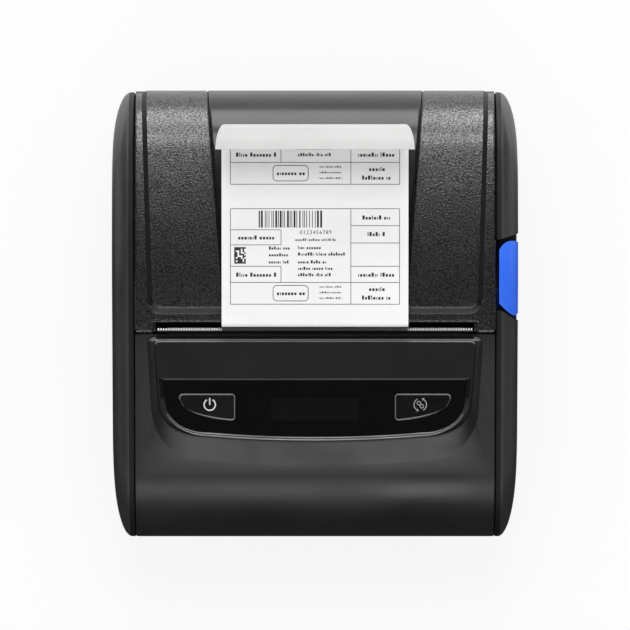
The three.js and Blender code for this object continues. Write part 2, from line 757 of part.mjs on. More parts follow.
const skirtBottom = baseTop + lidGap;
const ear = { inset: 5, frontY: coverRearY + fitGap, footDrop: 8 };
ear.inner = shellHalf - ear.inset;
ear.cheekFoot = bodyHeight - ear.footDrop;
const raised = { back: 1.3, rearInset: 1.8, frontInset: 3.6 };
raised.frontY = platenY - raised.back;
raised.rearHalf = shellHalf - raised.rearInset;
raised.frontHalf = shellHalf - raised.frontInset;
const lipDrop = 7;
const windowShares = { rearHalf: 0.5958, frontHalf: 0.5083 };
const windowPlan = { frontReach: 4, footDrop: 16, relief: 0.25 };
windowPlan.rearHalf = shellHalf * windowShares.rearHalf;
windowPlan.frontHalf = shellHalf * windowShares.frontHalf;
windowPlan.frontY = platenY + windowPlan.frontReach;
windowPlan.footZ = bodyHeight - windowPlan.footDrop;
const frameBand = {
  frontBack: 2.2, rearInset: 11, openReach: 6.3, openInset: 19, sideInset: 2.3, windowInset: 1.4,
};
frameBand.frontY = platenY - frameBand.frontBack;
frameBand.rearY = halfLength - frameBand.rearInset;
frameBand.openFront = platenY + frameBand.openReach;
frameBand.openRear = halfLength - frameBand.openInset;
frameBand.innerHalf = windowPlan.frontHalf - frameBand.windowInset;
frameBand.outerHalf = shellHalf - frameBand.sideInset;
const springPocket = { inset: 2.5, length: 7, radius: 3.4 };
springPocket.to = knuckleInner - springPocket.inset;
springPocket.from = springPocket.to - springPocket.length;
const platenBush = { outerRadius: 3 };
const arm = { half: 4.4 };

function lidCover() {
  const backY = hingeY - hingeRadius;
  const outer = prismX([
    ...lidLine(lidRelief, ear.frontY),
    [ear.frontY, skirtBottom], [backY, skirtBottom], [backY, hingeHeight],
  ], -shellHalf, shellHalf);
  const inner = prismX([
    ...lidLine(lidRelief + lidWall, ear.frontY + lidWall, hingeHeight - overrun),
    [ear.frontY + lidWall, hingeHeight - overrun],
  ], lidWall - shellHalf, shellHalf - lidWall);
  const between = block(-ear.inner, ear.inner, ear.frontY - overrun, lipY, hingeHeight, bodyHeight);
  const lipFoot = bodyHeight - lipDrop;
  const lipWall = prismX([
    ...lidLine(lidRelief, lipY).slice(-1), [lipY, lipFoot], [lipY + lidWall, lipFoot],
    [lipY + lidWall, crownHeight(lipY + lidWall, lidRelief)],
  ].reverse(), -ear.inner - lidWall, ear.inner + lidWall);
  const plan = [
    [-raised.frontHalf, raised.frontY], [raised.frontHalf, raised.frontY],
    [raised.rearHalf, halfLength + overrun], [-raised.rearHalf, halfLength + overrun],
  ];
  const top = prismX([
    ...lidLine(0, raised.frontY, hingeHeight),
    ...lidLine(lidRelief + lidWall / 2, raised.frontY, hingeHeight).reverse(),
  ], -shellHalf, shellHalf).intersect(prismZ(plan, 0, bodyHeight + overrun));
  const barrel = rodX(hingeY, hingeHeight, hingeRadius, lidGap - knuckleInner, knuckleInner - lidGap);
  const cheekCut = [-1, 1].map((side) => {
    const [x0, x1] = [side * (knuckleInner - lidGap), side * (shellHalf + overrun)].sort((a, b) => a - b);
    return rodX(hingeY, hingeHeight, hingeRadius + 2 * lidGap, x0, x1);
  });
  const shell = joined(without(outer, inner, between), lipWall, top, barrel);
  return without(shell,
    block(-shellHalf - overrun, shellHalf + overrun, ear.frontY - overrun, ear.frontY + lidWall,
      skirtBottom - overrun, ear.cheekFoot),
    ...cheekCut, windowCutter(0, 0),
    rodX(hingeY, hingeHeight, springPocket.radius + fitGap, -springPocket.to, -springPocket.from),
    rodX(hingeY, hingeHeight, hingeRodRadius + shaftGap, -shellHalf, shellHalf));
}

function windowCutter(inset, drop) {
  const p = windowPlan;
  return prismZ([
    [-p.frontHalf + inset, p.frontY + inset], [p.frontHalf - inset, p.frontY + inset],
    [p.rearHalf - inset, halfLength + overrun], [-p.rearHalf + inset, halfLength + overrun],
  ], p.footZ + drop, bodyHeight + overrun);
}

function lidWindow() {
  const p = windowPlan;
  const sheet = prismX([
    ...lidLine(p.relief, ear.frontY),
    ...lidLine(lidRelief + lidWall - p.relief, ear.frontY).reverse(),
  ], -shellHalf, shellHalf);
  return sheet.intersect(windowCutter(fitGap, fitGap));
}

function lidFrame() {
  const top = lidRelief + lidWall + fitGap;
  const f = frameBand;
  const band = prismX([
    ...lidLine(top, f.frontY), ...lidLine(top + frameThickness, f.frontY).reverse(),
  ], -f.outerHalf, f.outerHalf)
    .intersect(block(-f.outerHalf, f.outerHalf, f.frontY, f.rearY, 0, bodyHeight));
  const hole = block(-f.innerHalf, f.innerHalf, f.openFront, f.openRear, 0, bodyHeight);
  const arms = [-1, 1].map((side) => {
    const [x0, x1] = [side * armInner, side * armOuter].sort((a, b) => a - b);
    const rise = crownHeight(platenY, top + frameThickness / 2);
    return prismX([
      ...arc(platenY, platenHeight, arm.half, -2 * quarter, 0, roundSides / 2),
      [platenY + arm.half * 2, rise], [platenY - arm.half / 2, rise],
    ], x0, x1);
  });
  return without(joined(band.subtract(hole), ...arms),
    rodX(platenY, platenHeight, platenBush.outerRadius + shaftGap, -halfWidth, halfWidth));
}

add('lid_cover', 'shell', lidCover());
add('lid_window', 'smoke', lidWindow());
add('lid_frame', 'frame', lidFrame());

// Platen: rubber roller on a steel shaft, turning in two bushes, with its gear on the left

const shaftEnd = gearOuter + fitGap / 2;
const bushOuter = gearInner - fitGap;

add('platen_roller', 'rubber', rodX(platenY, platenHeight, platenRadius, -platenHalf, platenHalf)
  .subtract(rodX(platenY, platenHeight, platenShaftRadius + shaftGap, -halfWidth, halfWidth)));
add('platen_shaft', 'steel', rodX(platenY, platenHeight, platenShaftRadius, -shaftEnd, bushOuter));
[[-1, 'platen_bush_left'], [1, 'platen_bush_right']].forEach(([side, name]) => {
  const [x0, x1] = [side * armInner, side * bushOuter].sort((a, b) => a - b);
  add(name, 'brass', rodX(platenY, platenHeight, platenBush.outerRadius, x0, x1)
    .subtract(rodX(platenY, platenHeight, platenShaftRadius + shaftGap, -halfWidth, halfWidth)));
});

// Gear train on the left: platen gear, idler, motor pinion

const gearShape = { addendum: 1, dedendum: 1.25, rootShare: 0.27, tipShare: 0.12 };
const idlerTurn = THREE.MathUtils.degToRad(208.3);
const deck = { bottom: seamHeight + fitGap, thickness: 1.6 };
const motor = { radius: 7.5, length: 18, shaftRadius: 1, sink: 6 };
const meshEase = 0.12;
const deckTop = deck.bottom + deck.thickness;
const idlerReach = (gearModule * (platenTeeth + idlerTeeth)) / 2 + meshEase;
const idlerY = platenY + idlerReach * Math.cos(idlerTurn);
const idlerZ = platenHeight + idlerReach * Math.sin(idlerTurn);
const motorReach = (gearModule * (idlerTeeth + motorTeeth)) / 2 + meshEase;
const motorZ = deckTop + fitGap + motor.radius;
const motorY = idlerY - Math.sqrt(motorReach ** 2 - (motorZ - idlerZ) ** 2);
const motorTurn = Math.atan2(motorZ - idlerZ, motorY - idlerY);

// phase is the direction of the middle of one tooth
function gearOutline(y, z, teeth, phase) {
  const pitchRadius = (gearModule * teeth) / 2;
  const tip = pitchRadius + gearModule * gearShape.addendum;
  const root = pitchRadius - gearModule * gearShape.dedendum;
  const step = (2 * Math.PI) / teeth;
  const points = [];
  for (let i = 0; i < teeth; i += 1) {
    const middle = phase + i * step;
    [[root, -gearShape.rootShare], [tip, -gearShape.tipShare],
      [tip, gearShape.tipShare], [root, gearShape.rootShare]].forEach(([radius, share]) => {
      const angle = middle + share * step;
      points.push([y + radius * Math.cos(angle), z + radius * Math.sin(angle)]);
    });
  }
  return points;
}

function gear(y, z, teeth, phase, boreRadius) {
  return prismX(gearOutline(y, z, teeth, phase), -gearOuter, -gearInner)
    .subtract(rodX(y, z, boreRadius, -halfWidth, 0));
}

const halfToothOf = (teeth) => Math.PI / teeth;
const idlerPhase = idlerTurn + Math.PI + halfToothOf(idlerTeeth);
const idlerStep = 2 * halfToothOf(idlerTeeth);
const idlerSlip = idlerPhase - motorTurn - Math.round((idlerPhase - motorTurn) / idlerStep) * idlerStep;
const motorPhase = motorTurn + Math.PI - (idlerSlip * idlerTeeth) / motorTeeth + halfToothOf(motorTeeth);

const idlerAxleRadius = 1.2;
add('platen_gear', 'gear',
  gear(platenY, platenHeight, platenTeeth, idlerTurn, platenShaftRadius + shaftGap));
add('idler_gear', 'gear', gear(idlerY, idlerZ, idlerTeeth, idlerPhase, idlerAxleRadius + shaftGap));
add('idler_axle', 'steel', rodX(idlerY, idlerZ, idlerAxleRadius, -shaftEnd, -armInner));

const motorFace = -armInner + fitGap;
add('motor_pinion', 'brass',
  prismX(gearOutline(motorY, motorZ, motorTeeth, motorPhase), -gearOuter, -gearInner)
  .add(rodX(motorY, motorZ, motor.shaftRadius, -gearInner - gearWidth / 2, motorFace + motor.sink)));
add('motor_body', 'steel', rodX(motorY, motorZ, motor.radius, motorFace, motorFace + motor.length)
  .subtract(rodX(motorY, motorZ, motor.shaftRadius + shaftGap, motorFace - overrun,
    motorFace + motor.sink + fitGap)));

// Printhead: a ceramic strip on a heatsink that tilts on its pivot rod, pressed by two springs

const head = {
  inset: 0.5, ceramic: 0.8, sink: 2.8, below: 5.5, above: 4.7,
  pivotBelow: 11, pivotRadius: 1.2, bossRadius: 2.4, springRadius: 2, springBore: 1.3,
};
head.half = platenHalf - head.inset;
head.pivotZ = platenHeight - head.pivotBelow;
head.springX = platenHalf / 2;
const headY = headFaceY - head.ceramic - head.sink / 2;
const headTop = platenHeight + head.above;

function headHeatsink() {
  const back = headFaceY - head.ceramic - head.sink;
  const front = headFaceY - head.ceramic;
  const plate = prismX([
    [back, head.pivotZ], [front, head.pivotZ], [front, headTop], [back, headTop],
  ], -head.half, head.half);
  return plate.add(rodX(headY, head.pivotZ, head.bossRadius, -head.half, head.half))
    .subtract(rodX(headY, head.pivotZ, head.pivotRadius + shaftGap, -halfWidth, halfWidth));
}

add('head_heatsink', 'aluminium', headHeatsink());
add('head_ceramic', 'ceramic', block(-head.half, head.half, headFaceY - head.ceramic, headFaceY,
  platenHeight - head.below, headTop));
add('head_pivot_rod', 'steel', rodX(headY, head.pivotZ, head.pivotRadius, -armOuter, armOuter));

const crossbar = { thickness: 1.5, springLength: 3.6, below: 9, above: 1.5 };
const crossbarRear = headFaceY - head.ceramic - head.sink - fitGap - crossbar.springLength;
[[-1, 'head_spring_left'], [1, 'head_spring_right']].forEach(([side, name]) => {
  const x = side * head.springX;
  const z = platenHeight - head.springRadius;
  add(name, 'steel', rodY(x, z, head.springRadius, crossbarRear + shaftGap / 2,
    crossbarRear + crossbar.springLength)
    .subtract(rodY(x, z, head.springBore, crossbarRear - overrun,
      crossbarRear + crossbar.springLength + overrun)));
});

// Latch parts

function hookOutline() {
  const throat = platenBush.outerRadius + fitGap;
  const blade = platenY - throat;
  const foot = arc(latch.y, latch.z, latch.bossRadius, -2 * quarter, 0, roundSides / 2);
  return [
    ...foot,
    [blade, latch.lugZ],
    ...arc(platenY, platenHeight, throat, 2 * quarter, throatTurn, cornerSteps),
    [latch.noseReach, platenHeight + throat],
    [latch.noseReach, headTop],
    [blade - latch.bladeWidth, headTop],
  ];
}

function latchHook(side) {
  const [x0, x1] = [side * hookInner, side * hookOuter].sort((a, b) => a - b);
  return prismX(hookOutline(), x0, x1)
    .subtract(rodX(latch.y, latch.z, latch.shaftRadius + shaftGap, -halfWidth, halfWidth));
}

add('latch_hook_left', 'steel', latchHook(-1));
add('latch_hook_right', 'steel', latchHook(1)
  .add(rodX(latch.y, latch.lugZ, latch.lugRadius, hookInner + hookThickness / 2, gearOuter)));
add('latch_shaft', 'steel', rodX(latch.y, latch.z, latch.shaftRadius, -hookOuter, hookOuter));

const latchSpring = { outerRadius: 2.5, gap: 2.3, length: 5 };
const latchSpringEnd = armInner - latchSpring.gap;
add('latch_spring', 'steel', rodX(latch.y, latch.z, latchSpring.outerRadius,
  latchSpringEnd - latchSpring.length, latchSpringEnd)
  .subtract(rodX(latch.y, latch.z, latch.shaftRadius + shaftGap, 0, halfWidth)));

// Hinge rod and lid spring

add('hinge_rod', 'steel', rodX(hingeY, hingeHeight, hingeRodRadius, fitGap - shellHalf, shellHalf - fitGap));
add('lid_spring', 'steel', rodX(hingeY, hingeHeight, springPocket.radius, fitGap - springPocket.to,
  -springPocket.from - fitGap)
  .subtract(rodX(hingeY, hingeHeight, hingeRodRadius + shaftGap, -halfWidth, 0)));

// Label roll on its core, with two sprung guides that a pinion keeps centred

const labelHalf = labelWidth / 2;
const guide = {
  discInset: 1.5, discThickness: 1.5, hubLength: 8, gap: 0.4,
  footHalf: 7, rackThickness: 1.7, rackWidth: 2.6, rackReach: 16.5,
};
guide.discRadius = rollRadius - guide.discInset;
guide.hubRadius = coreBoreRadius - fitGap;
const pinion = { teeth: 12, module: 0.8, axleRadius: 1.5, thickness: 1.7 };
const recessHalf = 9.6;
const bayFrontTurn = THREE.MathUtils.degToRad(190);
const bayRearTurn = THREE.MathUtils.degToRad(375);
const rackBottom = bayFloor + fitGap;
const pinionRadius = (pinion.teeth * pinion.module) / 2;

add('label_roll', 'paper', rodX(rollY, rollHeight, rollRadius, -labelHalf, labelHalf, rollSides)
  .subtract(rodX(rollY, rollHeight, coreOuterRadius + shaftGap, -halfWidth, halfWidth)));
add('roll_core', 'card', rodX(rollY, rollHeight, coreOuterRadius, -labelHalf, labelHalf)
  .subtract(rodX(rollY, rollHeight, coreBoreRadius, -halfWidth, halfWidth)));

function pinionOutline() {
  const tip = pinionRadius + pinion.module * gearShape.addendum;
  const root = pinionRadius - pinion.module * gearShape.dedendum;
  const step = (2 * Math.PI) / pinion.teeth;
  const points = [];
  for (let i = 0; i < pinion.teeth; i += 1) {
    const middle = quarter + i * step;
    [[root, -gearShape.rootShare], [tip, -gearShape.tipShare],
      [tip, gearShape.tipShare], [root, gearShape.rootShare]].forEach(([radius, share]) => {
      const angle = middle + share * step;
      points.push([radius * Math.cos(angle), rollY + radius * Math.sin(angle)]);
    });
  }
  return points;
}

// A rack along X whose teeth face the pinion; side -1 lies behind it and side 1 in front
function rackOutline(side) {
  const pitch = Math.PI * pinion.module;
  const pitchLine = pinionRadius + meshEase;
  const tip = pitchLine - pinion.module * gearShape.addendum;
  const root = pitchLine + pinion.module * gearShape.dedendum;
  const back = root + guide.rackWidth;
  const inner = -guide.rackReach;
  const outer = labelHalf + guide.gap + guide.discThickness;
  const teeth = Math.floor((labelHalf - inner) / pitch);
  const points = [[inner, back], [inner, root]];
  for (let i = 0; i < teeth; i += 1) {
    const middle = pitch * (Math.ceil(inner / pitch) + i) + pitch / 2;
    points.push([middle - pitch * gearShape.rootShare, root], [middle - pitch * gearShape.tipShare, tip],
      [middle + pitch * gearShape.tipShare, tip], [middle + pitch * gearShape.rootShare, root]);
  }
  points.push([outer, root], [outer, back]);
  return points.map(([x, y]) => [side * x, rollY + side * y]);
}

function mediaGuide(side) {
  const x = (a, b) => [side * a, side * b].sort((p, q) => p - q);
  const inner = labelHalf + guide.gap;
  const outer = inner + guide.discThickness;
  const disc = rodX(rollY, rollHeight, guide.discRadius, ...x(inner, outer), rollSides);
  const hub = rodX(rollY, rollHeight, guide.hubRadius, ...x(inner - guide.hubLength, outer));
  const foot = block(...x(inner, outer), rollY - guide.footHalf, rollY + guide.footHalf,
    rackBottom, rollHeight - guide.discRadius + guide.footHalf);
  const rackBody = prismZ(rackOutline(side), rackBottom, rackBottom + guide.rackThickness);
  const hollow = rodX(rollY, rollHeight, guide.hubRadius - guide.discThickness,
    ...x(inner - guide.hubLength - overrun, inner));
  return joined(disc, hub, foot, rackBody).subtract(hollow);
}

add('media_guide_left', 'frame', mediaGuide(-1));
add('media_guide_right', 'frame', mediaGuide(1));
add('guide_pinion', 'gear', prismZ(pinionOutline(), rackBottom, rackBottom + pinion.thickness)
  .subtract(rodZ(0, rollY, pinion.axleRadius + shaftGap, 0, rollHeight)));

// Chassis: the roll bay, the deck over the battery, brackets for the mechanism, legs for the screws

function bayOuter() {
  const r = bayRadius + bayWall;
  const half = recessHalf + bayWall;
  return joined(rodX(rollY, rollHeight, r, -chassisHalf, chassisHalf, rollSides),
    block(-chassisHalf, chassisHalf, rollY - half, rollY + half, bayFloor - bayWall, rollHeight));
}

function bayInner() {
  return joined(rodX(rollY, rollHeight, bayRadius, -halfWidth, halfWidth, rollSides),
    block(-halfWidth, halfWidth, rollY - recessHalf, rollY + recessHalf, bayFloor, rollHeight));
}

// Everything above the rims of the trough
function bayMouth() {
  const far = bodyLength;
  const point = (turn) => [rollY + far * Math.cos(turn), rollHeight + far * Math.sin(turn)];
  return prismX([[rollY, rollHeight], point(bayRearTurn), [rollY, rollHeight + far], point(bayFrontTurn)],
    -halfWidth, halfWidth);
}

const chassisHalf = wallInner - fitGap;
const bracket = { frontReach: 17.7, rearBack: 2.6, below: 5.8, head: 2.6 };
bracket.front = platenY - bracket.frontReach;
bracket.rear = platenY - bracket.rearBack;
bracket.top = platenHeight - bracket.below;
const post = { radius: 3.2 };
const sensor = { half: 5, thickness: 2.5, height: 5, below: 17, gap: 1 };
sensor.z = platenHeight - sensor.below;
const contact = { half: 7, inset: 4, length: 4, proud: 1.2 };
contact.y1 = battery.rear - contact.inset;
contact.y0 = contact.y1 - contact.length;
const deckRear = rollY - Math.sqrt((bayRadius + bayWall / 2) ** 2 - (rollHeight - deckTop) ** 2);
const deckFront = baseWall + noseInset + fitGap - halfLength;

function chassis() {
  const trough = bayOuter().subtract(bayInner()).subtract(bayMouth());
  const sideRelief = [-1, 1].map((side) => {
    const [x0, x1] = [side * armInner, side * halfWidth].sort((a, b) => a - b);
    return block(x0, x1, deckFront, rollY - recessHalf - bayWall * 2, deckTop, bodyHeight);
  });
  const plate = block(-chassisHalf, chassisHalf, deckFront, deckRear, deck.bottom, deckTop);
  const brackets = [-1, 1].map((side) => {
    const [x0, x1] = [side * armInner, side * armOuter].sort((a, b) => a - b);
    return prismX([
      [bracket.front, deck.bottom], [bracket.rear, deck.bottom], [bracket.rear, latch.z + bracket.head],
      [headY + bracket.head, bracket.top], [idlerY, bracket.top + bracket.head / 2],
      [bracket.front, bracket.top],
    ], x0, x1);
  });
  const bar = block(-armOuter, armOuter, crossbarRear - crossbar.thickness, crossbarRear,
    platenHeight - crossbar.below, platenHeight + crossbar.above);
  const axle = rodZ(0, rollY, pinion.axleRadius, bayFloor - bayWall / 2, rackBottom + pinion.thickness);
  const posts = [-1, 1].flatMap((sx) => [
    rodZ(sx * screw.x, -screw.y, post.radius, floorTop + fitGap, deck.bottom + deck.thickness / 2),
    rodZ(sx * screw.x, screw.y, post.radius, floorTop + fitGap, screwPostTop),
  ]);
  const solid = joined(trough.subtract(joined(...sideRelief)), plate, ...brackets, bar, axle, ...posts);
  const pilots = [-1, 1].flatMap((sx) => [-1, 1].map((sy) => (
    rodZ(sx * screw.x, sy * screw.y, screw.shankRadius + shaftGap, 0, screw.length + fitGap + footHeight))));
  return without(solid, ...pilots,
    rodX(headY, head.pivotZ, head.pivotRadius + shaftGap, -halfWidth, halfWidth),
    rodX(latch.y, latch.z, latch.shaftRadius + shaftGap, -halfWidth, halfWidth),
    rodX(idlerY, idlerZ, idlerAxleRadius + shaftGap, -halfWidth, 0),
    block(-contact.half - fitGap, contact.half + fitGap, contact.y0 - fitGap, contact.y1 + fitGap,
      0, deckTop + overrun));
}

const screwPostTop = rollHeight - Math.sqrt(bayRadius ** 2 - (screw.y - rollY) ** 2) - bayWall / 2;
add('chassis', 'frame', chassis());
add('battery_contacts', 'brass', block(-contact.half, contact.half, contact.y0, contact.y1,
  battery.top + fitGap, deckTop + contact.proud));

// Battery pack and its latch, in the underside

add('battery_pack', 'panel', block(-battery.half, battery.half, battery.front, battery.rear,
  floorBottom, battery.top));
add('battery_latch', 'panel', batteryLatchSolid());

function batteryLatchSolid() {
  const l = batteryLatch;
  const plate = block(-l.half, l.half, l.y0, l.y0 + l.length, floorBottom + l.ridge, floorTop + 2 * fitGap);
  const ridges = [1, 2, 3].map((n) => block(-l.half / 2, l.half / 2, l.y0 + n * l.ridgePitch,
    l.y0 + n * l.ridgePitch + l.ridgeWidth, floorBottom, floorBottom + 2 * l.ridge));
  const flange = block(-l.half - l.flange, l.half + l.flange, l.y0, l.y0 + l.length,
    floorTop + fitGap, floorTop + fitGap + l.flange);
  return joined(plate, ...ridges, flange);
}

// Socket cover in the left panel: a rubber flap that hangs on its lower edge

const flapThickness = 2;

function portCover() {
  const p = port;
  const r = flapThickness / 2;
  const [y0, y1, turnZ] = [p.y0 + fitGap, p.y1 - fitGap, p.z0 + fitGap + r];
  const opening = block(-halfWidth - overrun, -panelInner, y0, y1, turnZ, p.z1 - fitGap)
    .add(rodY(r - halfWidth, turnZ, r, y0, y1));
  const sheet = pillowSolid(-1, 0, panelInner)
    .subtract(pillowSolid(-1, 0, panelInner - overrun).translate([flapThickness, 0, 0]));
  return sheet.intersect(opening);
}

add('port_cover', 'rubber', portCover());

// Labels: the web inside, from the roll up between head and platen, and the strip above the slot

function tangentTurn(fromY, fromZ, fromRadius, toY, toZ, toRadius) {
  const reach = Math.hypot(toY - fromY, toZ - fromZ);
  const along = Math.atan2(toZ - fromZ, toY - fromY);
  return along + Math.acos((fromRadius - toRadius) / reach);
}

// A strip of the label's thickness along a line of [Y, Z] points
function ribbon(points) {
  const side = (offset) => points.map((point, i) => {
    const before = points[Math.max(i - 1, 0)];
    const after = points[Math.min(i + 1, points.length - 1)];
    const length = Math.hypot(after[0] - before[0], after[1] - before[1]);
    return [
      point[0] - (offset * (after[1] - before[1])) / length,
      point[1] + (offset * (after[0] - before[0])) / length,
    ];
  });
  const half = labelThickness / 2;
  return prismX([...side(half), ...side(-half).reverse()], -labelHalf, labelHalf);
}

const curlSlope = THREE.MathUtils.degToRad(5.5);
const curlEndTurn = THREE.MathUtils.degToRad(188);
const curlSteps = 14;
const curl = { bendRadius: 2.4, run: 43, radius: 8, startDrop: 2.8 };
curl.start = bodyHeight - curl.startDrop;
const webRollRadius = rollRadius + fitGap + labelThickness / 2;
const webPlatenRadius = platenRadius + labelGap + labelThickness / 2;
const webTurn = tangentTurn(rollY, rollHeight, webRollRadius, platenY, platenHeight, webPlatenRadius);
const webY = platenY - webPlatenRadius;

add('label_web', 'paper', ribbon([
  ...arc(rollY, rollHeight, webRollRadius, webTurn + quarter / 3, webTurn, cornerSteps),
  ...arc(platenY, platenHeight, webPlatenRadius, webTurn, 2 * quarter, cornerSteps),
  [webY, curl.start - fitGap],
]));

function stripLine() {
  const bend = arc(webY + curl.bendRadius, curl.start + fitGap, curl.bendRadius,
    2 * quarter, quarter + curlSlope, cornerSteps);
  const [y, z] = bend[bend.length - 1];
  const endY = y + curl.run * Math.cos(curlSlope);
  const endZ = z + curl.run * Math.sin(curlSlope);
  const middleY = endY - curl.radius * Math.sin(curlSlope);
  const middleZ = endZ + curl.radius * Math.cos(curlSlope);
  return [
    [webY, curl.start], ...bend,
    ...arc(middleY, middleZ, curl.radius, curlSlope - quarter, curlEndTurn - quarter, curlSteps),
  ];
}

add('label_strip', 'paper', ribbon(stripLine()));

// Media sensor on the front rim of the bay, facing the web

const webAtSensor = rollY + webRollRadius * Math.cos(webTurn)
  - (sensor.z - rollHeight - webRollRadius * Math.sin(webTurn)) * Math.tan(webTurn - 2 * quarter);
add('media_sensor', 'board', block(-sensor.half, sensor.half,
  webAtSensor - sensor.gap - 2 * sensor.thickness, webAtSensor - sensor.gap - sensor.thickness,
  deckTop + fitGap, sensor.z + sensor.height / 2));

// Feet and screws, one of each near every corner of the underside

const corners = [
  ['front_left', -1, -1], ['front_right', 1, -1], ['rear_left', -1, 1], ['rear_right', 1, 1],
];
corners.forEach(([where, sx, sy]) => {
  add(`foot_${where}`, 'rubber', rodZ(sx * foot.x, sy * foot.y, foot.radius, 0,
    floorBottom + foot.recess - fitGap));
  const headBase = floorBottom + baseWall / 2 - screw.headHeight / 2;
  add(`screw_${where}`, 'steel', rodZ(sx * screw.x, sy * screw.y, screw.headRadius,
    headBase - screw.headHeight / 2 + fitGap, headBase)
    .add(rodZ(sx * screw.x, sy * screw.y, screw.shankRadius, headBase - fitGap, footHeight + screw.length)));
});

printer.updateMatrixWorld(true);

export default printer;
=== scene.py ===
"""Looks of the portable label printer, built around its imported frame. Lengths are in millimetres
until they reach a mesh, where MM turns them into metres. +Z up, +Y towards the lid's hinge."""

import math
import random

import bmesh
import bpy
from mathutils import Matrix, Vector

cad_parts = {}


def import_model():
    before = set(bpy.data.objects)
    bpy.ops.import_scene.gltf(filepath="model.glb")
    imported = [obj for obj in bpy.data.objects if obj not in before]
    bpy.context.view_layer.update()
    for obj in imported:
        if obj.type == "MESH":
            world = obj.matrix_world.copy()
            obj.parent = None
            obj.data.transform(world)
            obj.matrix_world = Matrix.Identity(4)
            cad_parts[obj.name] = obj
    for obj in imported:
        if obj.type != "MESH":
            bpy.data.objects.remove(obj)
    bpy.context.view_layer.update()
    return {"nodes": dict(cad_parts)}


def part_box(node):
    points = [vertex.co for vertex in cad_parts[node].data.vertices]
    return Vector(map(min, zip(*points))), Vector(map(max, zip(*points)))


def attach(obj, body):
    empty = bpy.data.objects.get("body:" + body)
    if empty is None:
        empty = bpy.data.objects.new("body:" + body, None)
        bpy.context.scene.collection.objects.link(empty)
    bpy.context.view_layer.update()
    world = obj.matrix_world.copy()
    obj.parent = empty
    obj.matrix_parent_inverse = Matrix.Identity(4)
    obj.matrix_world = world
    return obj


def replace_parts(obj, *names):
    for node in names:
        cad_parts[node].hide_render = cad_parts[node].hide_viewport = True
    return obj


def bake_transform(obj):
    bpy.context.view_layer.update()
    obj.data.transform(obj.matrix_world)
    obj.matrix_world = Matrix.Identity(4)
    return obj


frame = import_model()

MM = 0.001
TAU = 2 * math.pi
QUARTER = math.pi / 2


def node_box(name):
    """The lowest and highest corner of a CAD node, in millimetres."""
    low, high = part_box(name)
    return [v / MM for v in low], [v / MM for v in high]


def middle_yz(name):
    low, high = node_box(name)
    return (low[1] + high[1]) / 2, (low[2] + high[2]) / 2


# Sizes read from the frame
base_low, base_high = node_box("base_housing")
cover_low, cover_high = node_box("front_cover")
panel_low, panel_high = node_box("left_side_panel")
blade_low, blade_high = node_box("tear_bar")

HALF_LENGTH = base_high[1]
HALF_WIDTH = -panel_low[0]
SHELL_HALF = base_high[0]
PANEL_INNER = -panel_high[0]
BODY_HEIGHT = node_box("lid_cover")[1][2]
SEAM_TOP = cover_low[2]
COVER_REAR = cover_high[1]
FLOOR = base_low[2]

# Shape of the side outline
REAR_RADIUS = 17.0
CROWN_RADIUS = 200.0
REAR_TURN = math.radians(85)
LID_RELIEF = 0.8
SLOPE = math.radians(10)
NOSE_RADIUS = 20.0
NOSE_INSET = 0.5
BOTTOM_RADIUS = 7.0
HINGE_Y = HALF_LENGTH - 4.5
HINGE_Z = 33.0
PLATEAU_RISE = 2.0
COVER_DROP = 0.9

CROWN_Z = BODY_HEIGHT - CROWN_RADIUS
CROWN_Y = HALF_LENGTH - REAR_RADIUS - (CROWN_RADIUS - REAR_RADIUS) * math.cos(REAR_TURN)
REAR_ARC_Y = HALF_LENGTH - REAR_RADIUS
REAR_ARC_Z = CROWN_Z + (CROWN_RADIUS - REAR_RADIUS) * math.sin(REAR_TURN)


def arc(a, b, radius, start, end, steps):
    return [
        (a + radius * math.cos(start + (end - start) * i / steps),
         b + radius * math.sin(start + (end - start) * i / steps))
        for i in range(steps + 1)
    ]


def between(a, b, steps):
    """The points that cut a straight line into steps, without its two ends."""
    return [tuple(p + (q - p) * i / steps for p, q in zip(a, b)) for i in range(1, steps)]


def flipped(points):
    """Points mirrored to the other side, in the order that carries an outline on."""
    return [(-x, y) for x, y in reversed(points)]


def quarter_turns(steps):
    return [QUARTER * i / steps for i in range(steps + 1)]


def crown_height(y, relief=0.0):
    return CROWN_Z + math.sqrt((CROWN_RADIUS - relief) ** 2 - (y - CROWN_Y) ** 2)


COVER_REAR_Z = crown_height(COVER_REAR) - COVER_DROP - PLATEAU_RISE
NOSE_Y = NOSE_INSET + NOSE_RADIUS - HALF_LENGTH
NOSE_Z = (COVER_REAR_Z - NOSE_RADIUS * math.cos(SLOPE)
          + (NOSE_Y - NOSE_RADIUS * math.sin(SLOPE) - COVER_REAR) * math.tan(SLOPE))


# Mesh helpers

def add_object(name, data):
    obj = bpy.data.objects.new(name, data)
    bpy.context.scene.collection.objects.link(obj)
    return obj


def mesh_object(name, verts, faces, sharp=35.0):
    mesh = bpy.data.meshes.new(name)
    mesh.from_pydata([[c * MM for c in v] for v in verts], [], faces)
    mesh.validate()
    return settle(add_object(name, mesh), sharp)


def settle(obj, sharp=35.0):
    """Faces out, smooth shading, with edges over the angle kept sharp."""
    mesh = obj.data
    bm = bmesh.new()
    bm.from_mesh(mesh)
    bmesh.ops.remove_doubles(bm, verts=bm.verts, dist=2e-7)
    bmesh.ops.recalc_face_normals(bm, faces=bm.faces)
    bm.to_mesh(mesh)
    bm.free()
    mesh.shade_smooth()
    mesh.set_sharp_from_angle(angle=math.radians(sharp))
    return obj


def evaluated_mesh(obj):
    return bpy.data.meshes.new_from_object(obj.evaluated_get(bpy.context.evaluated_depsgraph_get()))


